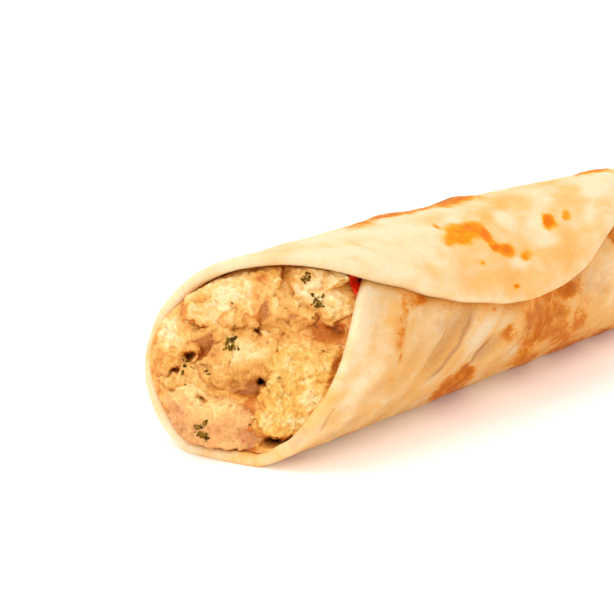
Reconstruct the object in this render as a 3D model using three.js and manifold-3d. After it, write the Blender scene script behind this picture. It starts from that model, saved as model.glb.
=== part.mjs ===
// Paneer tikka roll: a round flatbread rolled once and a bit around chunks of spiced paneer.
// Millimetres, +Z up. The roll lies along X with its open mouth at -X and its tail at +X.
// The loose flap of the bread comes over the top and ends on the -Y side.
import * as THREE from "three";
import { mergeVertices } from "three/addons/utils/BufferGeometryUtils.js";
import Module from "manifold-3d";

const wasm = await Module();
wasm.setup();

// Flatbread, measured flat: half widths across the rolling direction and along the roll.
const BREAD_THICKNESS = 2.6;
const HALF_ROLLED = 87.7;
const HALF_MOUTH = 96;
const TAIL_GROWTH = 21.5;
const TAIL_SHOULDER = [0.36, 0.62];
const RIM_INSET = 0.9;
const BREAD_GRID = 36;

// The roll's section: wrap radius at the mouth, half way and far end, its flattening and its layers.
const RADIUS_MOUTH = 22.2;
const RADIUS_MIDDLE = 21.95;
const RADIUS_TAIL = 18.7;
const RADIUS_SPAN = 200;
const SECTION_WIDENING = 1.11;
const AXIS_SINK = 0.94;
const FLAP_ANGLE = 77.4;
const LAYER_LIFT = 3.2;
const LIFT_FROM_ANGLE = -213;
const LIFT_TO_ANGLE = -20;

// Relief of the bread: slow waves, pull folds on the -Y side, blisters and the lifted flap edge.
const WAVE_HEIGHT = 0.35;
const WAVE_LENGTH = 34;
const WAVE_TURNS = 1.3;
const FOLD_SLOPE = 1.1;
const FOLD_WIDTH = 4.5;
const FOLD_DEPTH = 0.7;
const FOLD_PLACES = [66, 84, 102, 126, 152];
const FOLD_ARC = [8, 24, 42, 56];
const FLARE_HEIGHT = 2.2;
const FLARE_TURN = [0.05, 0.45, 0.95];
const FLARE_FROM = 0.8;
const BLISTERS = [
  { along: 79, angle: -22, radius: 10, height: 0.8 },
  { along: 110, angle: -16, radius: 10, height: 1.0 },
  { along: 174, angle: -2, radius: 9, height: 0.8 },
  { along: 86, angle: 34, radius: 10, height: 0.6 },
  { along: 120, angle: 35, radius: 7, height: 0.5 },
];

// Filling: room left to the bread, gaps between pieces and how deep the end pieces reach.
const FILL_CLEARANCE = 1.3;
const PIECE_GAP = 0.4;
const PIECE_DEPTH = 19;
const FACE_BULGE = 0.2;
const CORE_GAP = 1.2;
const EDGE_SHARPNESS = 26;
const EDGE_CROWDING = 0.25;
const CRAG_DEPTH = 0.035;
const CRAG_SIZE = 5.5;
const LAYER_MARGIN = 3;
const NOTCH_ANGLE = 28;
const WALL_STEP = 0.5;
const WALL_HALVINGS = 8;
const WALL_REACH = 64;

// The uneven end faces of the filling: position along X by height u over the section, -1 to 1.
const MOUTH_FACE = { tilt: 37, span: 22, at: 7.6, slope: 16.5, bow: 9 };
const TAIL_FACE = { tilt: -22, span: 18, at: 201, slope: -11, bow: -5 };
const FACE_REACH = 1.2;

// Paneer pieces at the mouth: centre, size across, up and deep, turn about the three size axes.
const MOUTH_PIECES = [
  {
    name: "paneer_upper_left",
    at: [19.4, 12.0, 34.2],
    size: [34, 24, 20],
    turn: [-6, 4, -9],
    herbs: [[0.1, 0.35]],
  },
  {
    name: "paneer_upper_right",
    at: [34.2, -5.0, 36.6],
    size: [26, 22, 19],
    turn: [4, -8, 6],
    herbs: [[-0.35, 0.3], [0.1, -0.25], [0.22, -0.02]],
  },
  { name: "paneer_middle", at: [25.9, -2.6, 30.4], size: [22, 16, 17], turn: [24, -10, -22], herbs: [] },
  {
    name: "paneer_lower_right",
    at: [21.2, -10.6, 17.2],
    size: [30, 34, 20],
    turn: [-4, 3, -5],
    herbs: [[0.45, -0.3]],
  },
  {
    name: "paneer_centre",
    at: [13.8, 5.2, 20.4],
    size: [23, 26, 18],
    turn: [18, 12, 14],
    herbs: [[-0.3, 0.6], [-0.05, 0.7]],
  },
  {
    name: "paneer_bottom",
    at: [7.6, 10.4, 9.8],
    size: [36, 23, 20],
    turn: [-10, 4, -16],
    herbs: [[-0.25, -0.35], [-0.1, -0.5], [-0.1, 0.3]],
  },
  { name: "paneer_left", at: [8.4, 19.0, 23.6], size: [20, 26, 17], turn: [0, -14, 8], herbs: [] },
  { name: "paneer_sliver", at: [6.0, 15.4, 17.8], size: [11, 7, 9], turn: [10, 0, -28], herbs: [] },
  { name: "paneer_shaded", at: [12.4, 12.2, 25.4], size: [16, 15, 15], turn: [16, 6, 20], herbs: [] },
  { name: "paneer_recessed", at: [34.6, -9.0, 27.8], size: [12, 11, 12], turn: [0, 0, 5], herbs: [] },
];

// A strip of red pepper under the flap, beside the upper right piece.
const PEPPER = {
  name: "pepper_red",
  at: [45.6, -9.4, 39.2],
  size: [9, 7, 5],
  turn: [0, 20, 12],
  herbs: [],
};

// Paneer pieces at the tail: one in the middle and a ring around it.
const TAIL_RING_COUNT = 5;
const TAIL_RING_RADIUS = 10.5;
const TAIL_PIECE = [20, 20, 27];
const TAIL_SINK = 8;
const TAIL_SCATTER = 0.6;
const TAIL_UNEVEN = 0.15;
const TAIL_TURN = 18;
const TAIL_HERB = [0.2, 0.3];

// The way the mouth's pieces face: out of the slanted opening.
const MOUTH_OUTWARD = [-0.8, -0.42, 0.3];

// How finely the pieces and the core are divided, and the chopped herb flecks on the pieces.
const LARGE_PIECE = 20;
const LARGE_SEGMENTS = 7;
const SMALL_SEGMENTS = 5;
const TAIL_SEGMENTS = 4;
const CORE_SIDES = 26;
const CORE_STATIONS = 14;
const CORE_LUMPS = 4;
const HERB_SIZE = [1.6, 1.0, 0.7];
const HERB_SPIN = 1.3;

// Noise: the draw's seed, and the numbers that scatter the bits of a lattice point.
const SEED = 20539;
const SCATTER = [374761393, 668265263, 1274126177, 97];
const NEARLY_NOTHING = 1e-6;

const BREAD_FINISH = { color: 0xf3d9a6, roughness: 0.75, metalness: 0 };
const PANEER_FINISH = { color: 0xeec680, roughness: 0.8, metalness: 0 };
const CORE_FINISH = { color: 0xb9803f, roughness: 0.9, metalness: 0 };
const PEPPER_FINISH = { color: 0xb81f10, roughness: 0.45, metalness: 0 };

const radians = THREE.MathUtils.degToRad;
const { smoothstep, lerp } = THREE.MathUtils;

// A value between -1 and 1 at a lattice point, always the same for the same point and seed.
function latticeValue(i, j, k, seed) {
  let h = [i, j, k, seed].reduce((mix, value, place) => mix ^ Math.imul(value, SCATTER[place]), 0);
  h = Math.imul(h ^ (h >>> 13), 1103515245);
  h = Math.imul(h ^ (h >>> 16), 747796405);
  return ((h ^ (h >>> 15)) >>> 0) / 2147483648 - 1;
}

// Smooth noise between -1 and 1.
function noise(x, y, z, seed) {
  const base = [x, y, z].map(Math.floor);
  const part = [x, y, z].map((v, axis) => smoothstep(v - base[axis], 0, 1));
  let sum = 0;
  for (let corner = 0; corner < 8; corner += 1) {
    const step = [corner & 1, (corner >> 1) & 1, corner >> 2];
    const weight = step.reduce((w, s, axis) => w * (s ? part[axis] : 1 - part[axis]), 1);
    sum += weight * latticeValue(base[0] + step[0], base[1] + step[1], base[2] + step[2], seed);
  }
  return sum;
}

// Radius of the innermost layer's middle surface, a parabola through three stations.
function wrapRadius(x) {
  const s = x / RADIUS_SPAN;
  const mouth = RADIUS_MOUTH * (1 - s) * (1 - 2 * s);
  const middle = RADIUS_MIDDLE * 4 * s * (1 - s);
  const tail = RADIUS_TAIL * s * (2 * s - 1);
  return mouth + middle + tail;
}

// Height of the roll's axis above the surface it lies on.
function axisHeight(x) {
  return AXIS_SINK * (wrapRadius(x) + BREAD_THICKNESS / 2);
}

// How far a turn of the bread has been lifted by the turn below it. Angles in degrees from the top.
function layerLift(angle) {
  return LAYER_LIFT * smoothstep(angle, LIFT_FROM_ANGLE, LIFT_TO_ANGLE);
}

// The same angle within half a turn of the top, so that both layers share one relief.
function nearestTurn(angle) {
  return angle - 360 * Math.round(angle / 360);
}

// Ridge and valley of one pull fold, across its line.
function foldProfile(distance) {
  const d = distance / FOLD_WIDTH;
  return FOLD_DEPTH * d * Math.exp(1 - d * d);
}

// Relief of the bread in the radial direction, shared by the layers.
function breadRelief(angle, x) {
  const turn = nearestTurn(angle);
  const radius = wrapRadius(x);
  const arc = radians(turn) * radius;
  const sideways = WAVE_TURNS * Math.sin(radians(turn));
  const upwards = WAVE_TURNS * Math.cos(radians(turn));
  let relief = WAVE_HEIGHT * noise(x / WAVE_LENGTH, sideways, upwards, SEED);
  const [start, full, fade, end] = FOLD_ARC;
  const window = smoothstep(arc, start, full) * (1 - smoothstep(arc, fade, end));
  for (const place of FOLD_PLACES) {
    relief += window * foldProfile((x + FOLD_SLOPE * arc - place) / Math.hypot(1, FOLD_SLOPE));
  }
  for (const blister of BLISTERS) {
    const away = Math.hypot(x - blister.along, arc - radians(blister.angle) * radius);
    relief += blister.height * (1 - smoothstep(away, 0, blister.radius));
  }
  return relief;
}

// The flap's edge stands off the layer below along a stretch of its outline.
function flapFlare(across, along) {
  const reach = Math.hypot(across, along);
  const turn = Math.atan2(along, across);
  const [start, peak, end] = FLARE_TURN;
  const stretch = smoothstep(turn, start, peak) * (1 - smoothstep(turn, peak, end));
  return FLARE_HEIGHT * stretch * smoothstep(reach, FLARE_FROM, 1);
}

// Rolls a point of the flat bread up. across and along lie in the unit disc, depth runs through the bread.
function rolledPoint(across, along, depth) {
  const reach = Math.hypot(across, along);
  const growth = smoothstep(along / Math.max(reach, NEARLY_NOTHING), ...TAIL_SHOULDER) * reach * reach;
  const x = HALF_MOUTH + along * (HALF_MOUTH + TAIL_GROWTH * growth);
  const angle = FLAP_ANGLE - THREE.MathUtils.radToDeg((HALF_ROLLED * (1 - across)) / wrapRadius(x));
  const lift = layerLift(angle) + flapFlare(across, along);
  const radius = wrapRadius(x) + lift + breadRelief(angle, x) + depth;
  const floor = BREAD_THICKNESS / 2 - depth;
  const y = -SECTION_WIDENING * radius * Math.sin(radians(angle));
  const z = axisHeight(x) + radius * Math.cos(radians(angle));
  return new THREE.Vector3(x, y, Math.max(z, floor));
}

// A box's grid with its shared corners merged, so that it is one closed surface.
function closedBox(width, height, depth, across, up, through) {
  const box = new THREE.BoxGeometry(width, height, depth, across, up, through);
  box.deleteAttribute("normal");
  box.deleteAttribute("uv");
  return mergeVertices(box);
}

// Moves every point of a geometry by a function of its place.
function reshape(geometry, place) {
  const positions = geometry.getAttribute("position");
  for (let i = 0; i < positions.count; i += 1) {
    const moved = place(new THREE.Vector3().fromBufferAttribute(positions, i));
    positions.setXYZ(i, moved.x, moved.y, moved.z);
  }
  geometry.computeVertexNormals();
  return geometry;
}

// The flatbread: a thin square slab drawn out to a disc with a rounded rim, then rolled.
function flatbreadGeometry() {
  const slab = closedBox(2, 2, BREAD_THICKNESS, BREAD_GRID, BREAD_GRID, 2);
  const inset = 1 - RIM_INSET / HALF_ROLLED;
  return reshape(slab, (p) => {
    const shrink = Math.abs(p.z) < BREAD_THICKNESS / 4 ? 1 : inset;
    const across = p.x * Math.sqrt(1 - (p.y * p.y) / 2) * shrink;
    const along = p.y * Math.sqrt(1 - (p.x * p.x) / 2) * shrink;
    return rolledPoint(across, along, p.z);
  });
}

// X of an end face of the filling at a point of the section.
function endFace(face, y, z) {
  const tilt = radians(face.tilt);
  const height = (z - axisHeight(face.at)) * Math.cos(tilt) - y * Math.sin(tilt);
  const u = THREE.MathUtils.clamp(height / face.span, -FACE_REACH, FACE_REACH);
  return face.at + face.slope * u + face.bow * u * u;
}

// Whether the first turn of the bread, under the flap, reaches a place of the roll.
function underLayer(angle, x) {
  const rolled = radians(FLAP_ANGLE + 360 - angle) * wrapRadius(x);
  const across = 1 - rolled / HALF_ROLLED;
  if (across < -1) return false;
  const half = Math.sqrt(1 - across * across);
  const mouthEdge = HALF_MOUTH * (1 - half) - LAYER_MARGIN;
  const tailEdge = HALF_MOUTH + (HALF_MOUTH + TAIL_GROWTH) * half + LAYER_MARGIN;
  return x > mouthEdge && x < tailEdge;
}

// Whether a point lies in the room that the rolled bread leaves, with spare added to the clearance.
function insideBread(point, spare) {
  const y = point.y / SECTION_WIDENING;
  const z = point.z - axisHeight(point.x);
  const angle = THREE.MathUtils.radToDeg(Math.atan2(-y, z));
  const flapOnly = angle < NOTCH_ANGLE && !underLayer(angle - LAYER_MARGIN, point.x);
  const lift = layerLift(flapOnly ? angle : angle - 360);
  const room = wrapRadius(point.x) + lift - BREAD_THICKNESS / 2 - FILL_CLEARANCE - spare;
  return Math.hypot(y, z) < room && point.z > BREAD_THICKNESS + FILL_CLEARANCE / 2;
}

// Distance from a seed along a direction to where the test first fails.
function reachWhile(test, seed, direction) {
  const holds = (reach) => test(seed.clone().addScaledVector(direction, reach));
  let near = 0;
  while (near < WALL_REACH && holds(near + WALL_STEP)) near += WALL_STEP;
  let far = near + WALL_STEP;
  for (let halving = 0; halving < WALL_HALVINGS; halving += 1) {
    const middle = (near + far) / 2;
    if (holds(middle)) {
      near = middle;
    } else {
      far = middle;
    }
  }
  return near;
}

// Axes of the mouth pieces: across the opening, up it and out of it.
function mouthAxes() {
  const outward = new THREE.Vector3(...MOUTH_OUTWARD).normalize();
  const across = new THREE.Vector3(0, 0, 1).cross(outward).normalize();
  const up = outward.clone().cross(across);
  return new THREE.Matrix4().makeBasis(across, up, outward);
}

// Axes of the tail pieces: across the opening, up it and out of it.
function tailAxes() {
  const across = new THREE.Vector3(0, 1, 0);
  const up = new THREE.Vector3(0, 0, 1);
  const outward = new THREE.Vector3(1, 0, 0);
  return new THREE.Matrix4().makeBasis(across, up, outward);
}

// A piece with its seed point, half sizes and own axes worked out.
function settlePiece(piece, axes) {
  const [a, b, c] = piece.turn.map(radians);
  const turn = axes.clone().multiply(new THREE.Matrix4().makeRotationFromEuler(new THREE.Euler(a, b, c)));
  const half = new THREE.Vector3(...piece.size).multiplyScalar(0.5);
  return { ...piece, seed: new THREE.Vector3(...piece.at), half, turn, weight: (half.x + half.y) / 2 };
}

// How far a piece reaches along a direction: its own six faces, its neighbours and the room it lies in.
function pieceReach(piece, neighbours, room, local, direction) {
  const limits = ["x", "y", "z"].map((axis) => piece.half[axis] / Math.abs(local[axis]));
  for (const other of neighbours) {
    const apart = other.seed.clone().sub(piece.seed);
    const gap = apart.length();
    const share = (gap * piece.weight) / (piece.weight + other.weight) - PIECE_GAP / 2;
    const facing = direction.dot(apart) / gap;
    if (facing > 0) limits.push(share / facing);
  }
  limits.push(reachWhile(room, piece.seed, direction));
  const sum = limits.reduce((total, limit) => total + limit ** -EDGE_SHARPNESS, 0);
  return sum ** (-1 / EDGE_SHARPNESS);
}

// A merged geometry as a solid for joining.
function solidOf(geometry) {
  return new wasm.Manifold(
    new wasm.Mesh({
      numProp: 3,
      vertProperties: new Float32Array(geometry.getAttribute("position").array),
      triVerts: new Uint32Array(geometry.index.array),
    }),
  );
}

// A joined solid as a geometry.
function geometryOf(solid) {
  const mesh = solid.getMesh();
  const geometry = new THREE.BufferGeometry();
  geometry.setAttribute("position", new THREE.BufferAttribute(new Float32Array(mesh.vertProperties), 3));
  geometry.setIndex(new THREE.BufferAttribute(new Uint32Array(mesh.triVerts), 1));
  geometry.computeVertexNormals();
  return geometry;
}

// Where a ray from inside a closed geometry comes out of it.
function surfacePoint(geometry, seed, direction) {
  const shell = new THREE.Mesh(geometry, new THREE.MeshBasicMaterial({ side: THREE.DoubleSide }));
  const [hit] = new THREE.Raycaster(seed, direction).intersectObject(shell);
  return hit.point;
}

// A flat fleck of chopped herb lying on a piece.
function herbGeometry(centre, axes, spin) {
  const fleck = new THREE.IcosahedronGeometry(1, 0);
  fleck.deleteAttribute("normal");
  fleck.deleteAttribute("uv");
  const placed = new THREE.Matrix4().makeScale(...HERB_SIZE);
  placed.premultiply(new THREE.Matrix4().makeRotationZ(spin));
  placed.premultiply(axes).setPosition(centre);
  return mergeVertices(fleck.applyMatrix4(placed));
}

// A chunk of paneer: a box whose faces give way to its neighbours and the bread, with crumbled crags.
function pieceGeometry(piece, neighbours, room, segments, seed) {
  const reachAlong = (local) => {
    const direction = local.clone().transformDirection(piece.turn);
    const unit = local.clone().normalize();
    const reach = pieceReach(piece, neighbours, room, unit, direction);
    const p = piece.seed.clone().addScaledVector(direction, reach).divideScalar(CRAG_SIZE);
    const crag = 1 - CRAG_DEPTH * (1 + noise(p.x, p.y, p.z, seed));
    return piece.seed.clone().addScaledVector(direction, reach * crag);
  };
  const bowed = (v) => v * (1 + EDGE_CROWDING * (1 - v * v));
  const body = reshape(closedBox(2, 2, 2, segments, segments, segments), (p) => {
    return reachAlong(new THREE.Vector3(bowed(p.x), bowed(p.y), bowed(p.z)).multiply(piece.half));
  });
  let solid = solidOf(body);
  piece.herbs.forEach(([across, up], index) => {
    const direction = new THREE.Vector3(across, up, 1).multiply(piece.half).transformDirection(piece.turn);
    const centre = surfacePoint(body, piece.seed, direction);
    solid = solid.add(solidOf(herbGeometry(centre, piece.turn, index * HERB_SPIN + across)));
  });
  return geometryOf(solid);
}

// The filling between the end pieces: a lumpy bar that follows the bread's inside. It starts as a
// cylinder of height 1 about its own middle, whose axis is laid along the roll.
function coreGeometry() {
  const bar = new THREE.CylinderGeometry(1, 1, 1, CORE_SIDES, CORE_STATIONS);
  bar.deleteAttribute("normal");
  bar.deleteAttribute("uv");
  const spread = PIECE_DEPTH + CORE_GAP;
  return reshape(mergeVertices(bar), (p) => {
    const round = Math.hypot(p.x, p.z);
    const outward = new THREE.Vector3(0, -p.x, p.z);
    const seedFor = (x) => new THREE.Vector3(x, 0, axisHeight(x));
    const middle = (MOUTH_FACE.at + TAIL_FACE.at) / 2;
    const atMiddle = seedFor(middle).addScaledVector(outward, wrapRadius(middle));
    const first = endFace(MOUTH_FACE, atMiddle.y, atMiddle.z) + spread;
    const last = endFace(TAIL_FACE, atMiddle.y, atMiddle.z) - spread;
    const x = lerp(first, last, p.y + 0.5);
    if (round < NEARLY_NOTHING) return seedFor(x);
    const room = (point) => insideBread(point, CORE_GAP);
    const reach = reachWhile(room, seedFor(x), outward);
    const lump = noise(x / CRAG_SIZE, outward.y * CORE_LUMPS, outward.z * CORE_LUMPS, SEED);
    const crag = 1 - CRAG_DEPTH * (1 + lump);
    return seedFor(x).addScaledVector(outward, reach * crag);
  });
}

// The tail's pieces as one list: a middle one and a ring of five, each turned differently.
function tailPieces() {
  const pieces = [];
  for (let i = 0; i <= TAIL_RING_COUNT; i += 1) {
    const radius = i === 0 ? 0 : TAIL_RING_RADIUS;
    const angle = (i * 2 * Math.PI) / TAIL_RING_COUNT;
    const y = radius * Math.sin(angle);
    const z = axisHeight(TAIL_FACE.at) + radius * Math.cos(angle);
    const x = endFace(TAIL_FACE, y, z) - TAIL_SINK + TAIL_SCATTER * latticeValue(i, 0, 0, SEED);
    const size = TAIL_PIECE.map((s, axis) => s * (1 + TAIL_UNEVEN * latticeValue(i, axis, 1, SEED)));
    const turn = TAIL_PIECE.map((s, axis) => TAIL_TURN * latticeValue(i, axis, 2, SEED));
    pieces.push({ name: `paneer_tail_${i + 1}`, at: [x, y, z], size, turn, herbs: [TAIL_HERB] });
  }
  return pieces;
}

// Adds a named mesh to a group.
function addMesh(group, name, geometry, finish) {
  const mesh = new THREE.Mesh(geometry, new THREE.MeshStandardMaterial(finish));
  mesh.name = name;
  group.add(mesh);
}

// Adds the pieces of one end of the roll, each fitted to the others and to the room they lie in.
function addPieces(group, pieces, room, segmentsFor) {
  pieces.forEach((piece, index) => {
    const neighbours = pieces.filter((other) => other !== piece);
    const geometry = pieceGeometry(piece, neighbours, room, segmentsFor(piece), SEED + index);
    addMesh(group, piece.name, geometry, piece.name === PEPPER.name ? PEPPER_FINISH : PANEER_FINISH);
  });
}

// The room of one end's pieces: inside the bread and within their depth of the end face.
function endRoom(face) {
  return (point) => {
    const behind = (point.x - endFace(face, point.y, point.z)) * Math.sign(face.slope);
    return insideBread(point, 0) && behind > -FACE_BULGE && behind < PIECE_DEPTH;
  };
}

// Assembly.
const roll = new THREE.Group();
const mouthPieces = [...MOUTH_PIECES, PEPPER].map((piece) => settlePiece(piece, mouthAxes()));
const mouthSegments = (piece) => (piece.size[0] > LARGE_PIECE ? LARGE_SEGMENTS : SMALL_SEGMENTS);
const lastPieces = tailPieces().map((piece) => settlePiece(piece, tailAxes()));
addMesh(roll, "flatbread", flatbreadGeometry(), BREAD_FINISH);
addPieces(roll, mouthPieces, endRoom(MOUTH_FACE), mouthSegments);
addPieces(roll, lastPieces, endRoom(TAIL_FACE), () => TAIL_SEGMENTS);
addMesh(roll, "filling_core", coreGeometry(), CORE_FINISH);

// The part's origin: the middle of the underside of its box.
const box = new THREE.Box3().setFromObject(roll);
const middle = box.getCenter(new THREE.Vector3());
roll.position.set(-middle.x, -middle.y, -box.min.z);

const part = new THREE.Group();
part.add(roll);

export default part;
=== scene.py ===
"""Looks of a paneer tikka roll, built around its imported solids.

The roll lies along X with its slanted mouth at -X and its open tail at +X. The bread is a flat oval slab
that is rolled up by the same rule as its solid. The paneer chunks are torn blocks packed into the mouth
and the tail, with chopped herbs on them. Food sizes are in millimetres and angles are in degrees round
the roll from its top, positive towards -Y. Blender's objects are in metres, in the solids' frame.
"""

import logging
import math
from collections.abc import Callable, Sequence
from dataclasses import dataclass
from enum import Enum
from itertools import product

import bpy
import numpy as np
from mathutils import Matrix, Vector


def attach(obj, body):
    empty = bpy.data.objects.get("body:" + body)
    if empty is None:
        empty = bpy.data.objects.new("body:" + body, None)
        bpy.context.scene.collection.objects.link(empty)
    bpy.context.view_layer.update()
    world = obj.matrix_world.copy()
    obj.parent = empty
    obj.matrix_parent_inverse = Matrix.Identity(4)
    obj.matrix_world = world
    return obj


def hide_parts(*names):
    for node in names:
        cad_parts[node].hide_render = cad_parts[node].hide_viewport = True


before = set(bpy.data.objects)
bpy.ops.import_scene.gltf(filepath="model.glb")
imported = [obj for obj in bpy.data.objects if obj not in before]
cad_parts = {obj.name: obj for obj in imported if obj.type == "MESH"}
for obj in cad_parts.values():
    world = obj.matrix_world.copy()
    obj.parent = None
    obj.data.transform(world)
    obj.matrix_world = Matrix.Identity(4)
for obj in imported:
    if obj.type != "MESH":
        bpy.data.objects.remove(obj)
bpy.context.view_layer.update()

LOG = logging.getLogger("paneer_roll")
BODY = "root"
MM = 0.001
MAP_UNIT = 100.0
SEED = 20539
AXIS_MIXERS = (374761393, 668265263, 1274126177)
SEED_MIXER = 97
SHIFT_MIXERS = ((13, 1103515245), (16, 747796405))
LAST_SHIFT = 15
LAYER_SHIFT = 7.3
TINY = 1e-9
FAR_OFF = 1e6
EULER = 2.718
IMAGE_WIDTH = 614

Array = np.ndarray
Piece = bpy.types.Object
Material = bpy.types.Material
Tree = bpy.types.NodeTree
Socket = bpy.types.NodeSocket
Colour = tuple[float, float, float, float]
Span = tuple[float, float]
Triple = tuple[float, float, float]
Room = Callable[[Array], Array]


def tone(red: int, green: int, blue: int) -> Colour:
    """Turns a display colour into the linear colour that shaders take, by the sRGB rule.

    Args:
        red: Red as shown on a display, from 0 to 255.
        green: Green as shown on a display.
        blue: Blue as shown on a display.

    Returns:
        The linear colour with full alpha.
    """
    shown = [value / 255 for value in (red, green, blue)]
    linear = [v / 12.92 if v <= 0.04045 else ((v + 0.055) / 1.055) ** 2.4 for v in shown]
    return (*linear, 1.0)


def smoothstep(value: Array, low: float, high: float) -> Array:
    """Eases from 0 at low to 1 at high."""
    part = np.clip((value - low) / (high - low), 0.0, 1.0)
    return part * part * (3 - 2 * part)


def fade(value: Array, low: float, high: float) -> Array:
    """Eases from 1 at low to 0 at high."""
    return 1 - smoothstep(value, low, high)


def on_plane(first: Array, second: Array) -> Array:
    """Stacks two measures as points of a plane, one row of three for each."""
    return np.stack([first, second, np.zeros_like(first)], axis=1)


def turned(first: Array, second: Array, angle: float) -> tuple[Array, Array]:
    """Measures places along and across a direction that is turned by an angle in degrees."""
    c, s = math.cos(math.radians(angle)), math.sin(math.radians(angle))
    return c * first + s * second, c * second - s * first


def disc(square: Array) -> tuple[Array, Array]:
    """Maps points of a square from -1 to 1 onto the unit disc."""
    x, y = square[:, 0], square[:, 1]
    return x * np.sqrt(1 - y**2 / 2), y * np.sqrt(1 - x**2 / 2)


def plane_limit(distance: Array | float, facing: Array) -> Array:
    """Gives how far rays go before they meet a plane.

    Args:
        distance: How far the plane lies from where the rays start.
        facing: How squarely each ray points at it.

    Returns:
        The distance along each ray, endless for rays that point away.
    """
    return np.where(facing > TINY, distance / np.maximum(facing, TINY), np.inf)


def lattice_value(cells: Array, seed: int) -> Array:
    """Gives each lattice cell its own fixed value.

    Args:
        cells: Whole numbers, one row of three for each cell.
        seed: The draw's seed.

    Returns:
        Values between -1 and 1.
    """
    mixed = np.full(len(cells), seed * SEED_MIXER % 2**32, np.uint32)
    for column, mixer in zip(cells.T, AXIS_MIXERS):
        mixed ^= column.astype(np.int64).astype(np.uint32) * np.uint32(mixer)
    for shift, mixer in SHIFT_MIXERS:
        mixed = (mixed ^ (mixed >> np.uint32(shift))) * np.uint32(mixer)
    return (mixed ^ (mixed >> np.uint32(LAST_SHIFT))) / 2.0**31 - 1.0


def lattice_row(cells: Array, seed: int) -> Array:
    """Gives each lattice cell three fixed values of its own, as one row."""
    return np.stack([lattice_value(cells, seed + axis) for axis in range(3)], axis=1)


def soft_noise(points: Array, seed: int = SEED) -> Array:
    """Smooth noise between -1 and 1, with lumps about one unit across.

    Args:
        points: Places, one row of three for each.
        seed: The draw's seed.

    Returns:
        One value for each place.
    """
    base = np.floor(points)
    part = smoothstep(points - base, 0.0, 1.0)
    total = np.zeros(len(points))
    for corner in product((0, 1), repeat=3):
        step = np.array(corner)
        weight = np.where(step, part, 1 - part).prod(axis=1)
        total += weight * lattice_value(base + step, seed)
    return total


def layered_noise(points: Array, octaves: int, seed: int = SEED) -> Array:
    """Sums ever finer noise, each layer half as strong as the one before."""
    total = np.zeros(len(points))
    for level in range(octaves):
        total += 0.5**level * soft_noise(points * 2**level + LAYER_SHIFT * level, seed + level)
    return total


def nearest_grain(points: Array, seed: int = SEED) -> tuple[Array, Array, Array]:
    """Finds the nearest of many scattered grains, each of which is a flat face with its own lean.

    Args:
        points: Places, in units of about one grain.
        seed: The draw's seed.

    Returns:
        The distances to the nearest grain's middle, the height of its leaning face at each place, and its
        own value from 0 to 1.
    """
    base = np.floor(points)
    nearest = np.full(len(points), np.inf)
    chosen = base.copy()
    away = np.zeros_like(points)
    for step in product((-1, 0, 1), repeat=3):
        cell = base + np.array(step)
        offset = points - cell - (lattice_row(cell, seed) / 2 + 0.5)
        distance = np.linalg.norm(offset, axis=1)
        closer = distance < nearest
        nearest = np.where(closer, distance, nearest)
        chosen = np.where(closer[:, None], cell, chosen)
        away = np.where(closer[:, None], offset, away)
    lean = lattice_row(chosen, seed + 3)
    own = lattice_value(chosen, seed + 6) / 2 + 0.5
    return nearest, (lean * away).sum(axis=1), own


def select_only(*pieces: Piece) -> None:
    """Selects pieces and nothing else, the last of them as the active one."""
    bpy.ops.object.select_all(action="DESELECT")
    for piece in pieces:
        piece.select_set(True)
        bpy.context.view_layer.objects.active = piece


def just_added(name: str) -> Piece:
    """Names the piece that was just added and takes away the map that it came with."""
    piece = bpy.context.active_object
    piece.name = name
    while piece.data.uv_layers:
        piece.data.uv_layers.remove(piece.data.uv_layers[0])
    return piece


def points_of(piece: Piece) -> Array:
    """Reads a mesh's points as one row of three for each."""
    flat = np.empty(len(piece.data.vertices) * 3)
    piece.data.vertices.foreach_get("co", flat)
    return flat.reshape(-1, 3)


def normals_of(piece: Piece) -> Array:
    """Reads a mesh's point normals as one row of three for each."""
    flat = np.empty(len(piece.data.vertices) * 3, np.float32)
    piece.data.vertex_normals.foreach_get("vector", flat)
    return flat.reshape(-1, 3).astype(float)


def place_points(piece: Piece, points: Array) -> None:
    """Moves a mesh's points to places in millimetres of the part's frame."""
    piece.data.vertices.foreach_set("co", (points * MM).astype(np.float32).ravel())
    piece.data.update()


def store(piece: Piece, **looks: Array) -> None:
    """Keeps numbers for each point of a mesh, for its finish to read.

    Args:
        piece: The object whose mesh keeps the numbers.
        looks: One number for each point, by the attribute's name.
    """
    for name, values in looks.items():
        attribute = piece.data.attributes.new(name, "FLOAT", "POINT")
        attribute.data.foreach_set("value", values.astype(np.float32))


def settle(piece: Piece, slot: str, *nodes: str) -> None:
    """Shades a finished piece smooth and hands it to the frame.

    Args:
        piece: The finished piece.
        slot: The record's material slot; not used.
        nodes: The solids that it stands for, if any.
    """
    select_only(piece)
    bpy.ops.object.shade_smooth()
    select_only()
    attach(piece, BODY)
    if nodes:
        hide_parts(*nodes)
    LOG.info("%s: %d faces", piece.name, len(piece.data.polygons))


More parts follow.
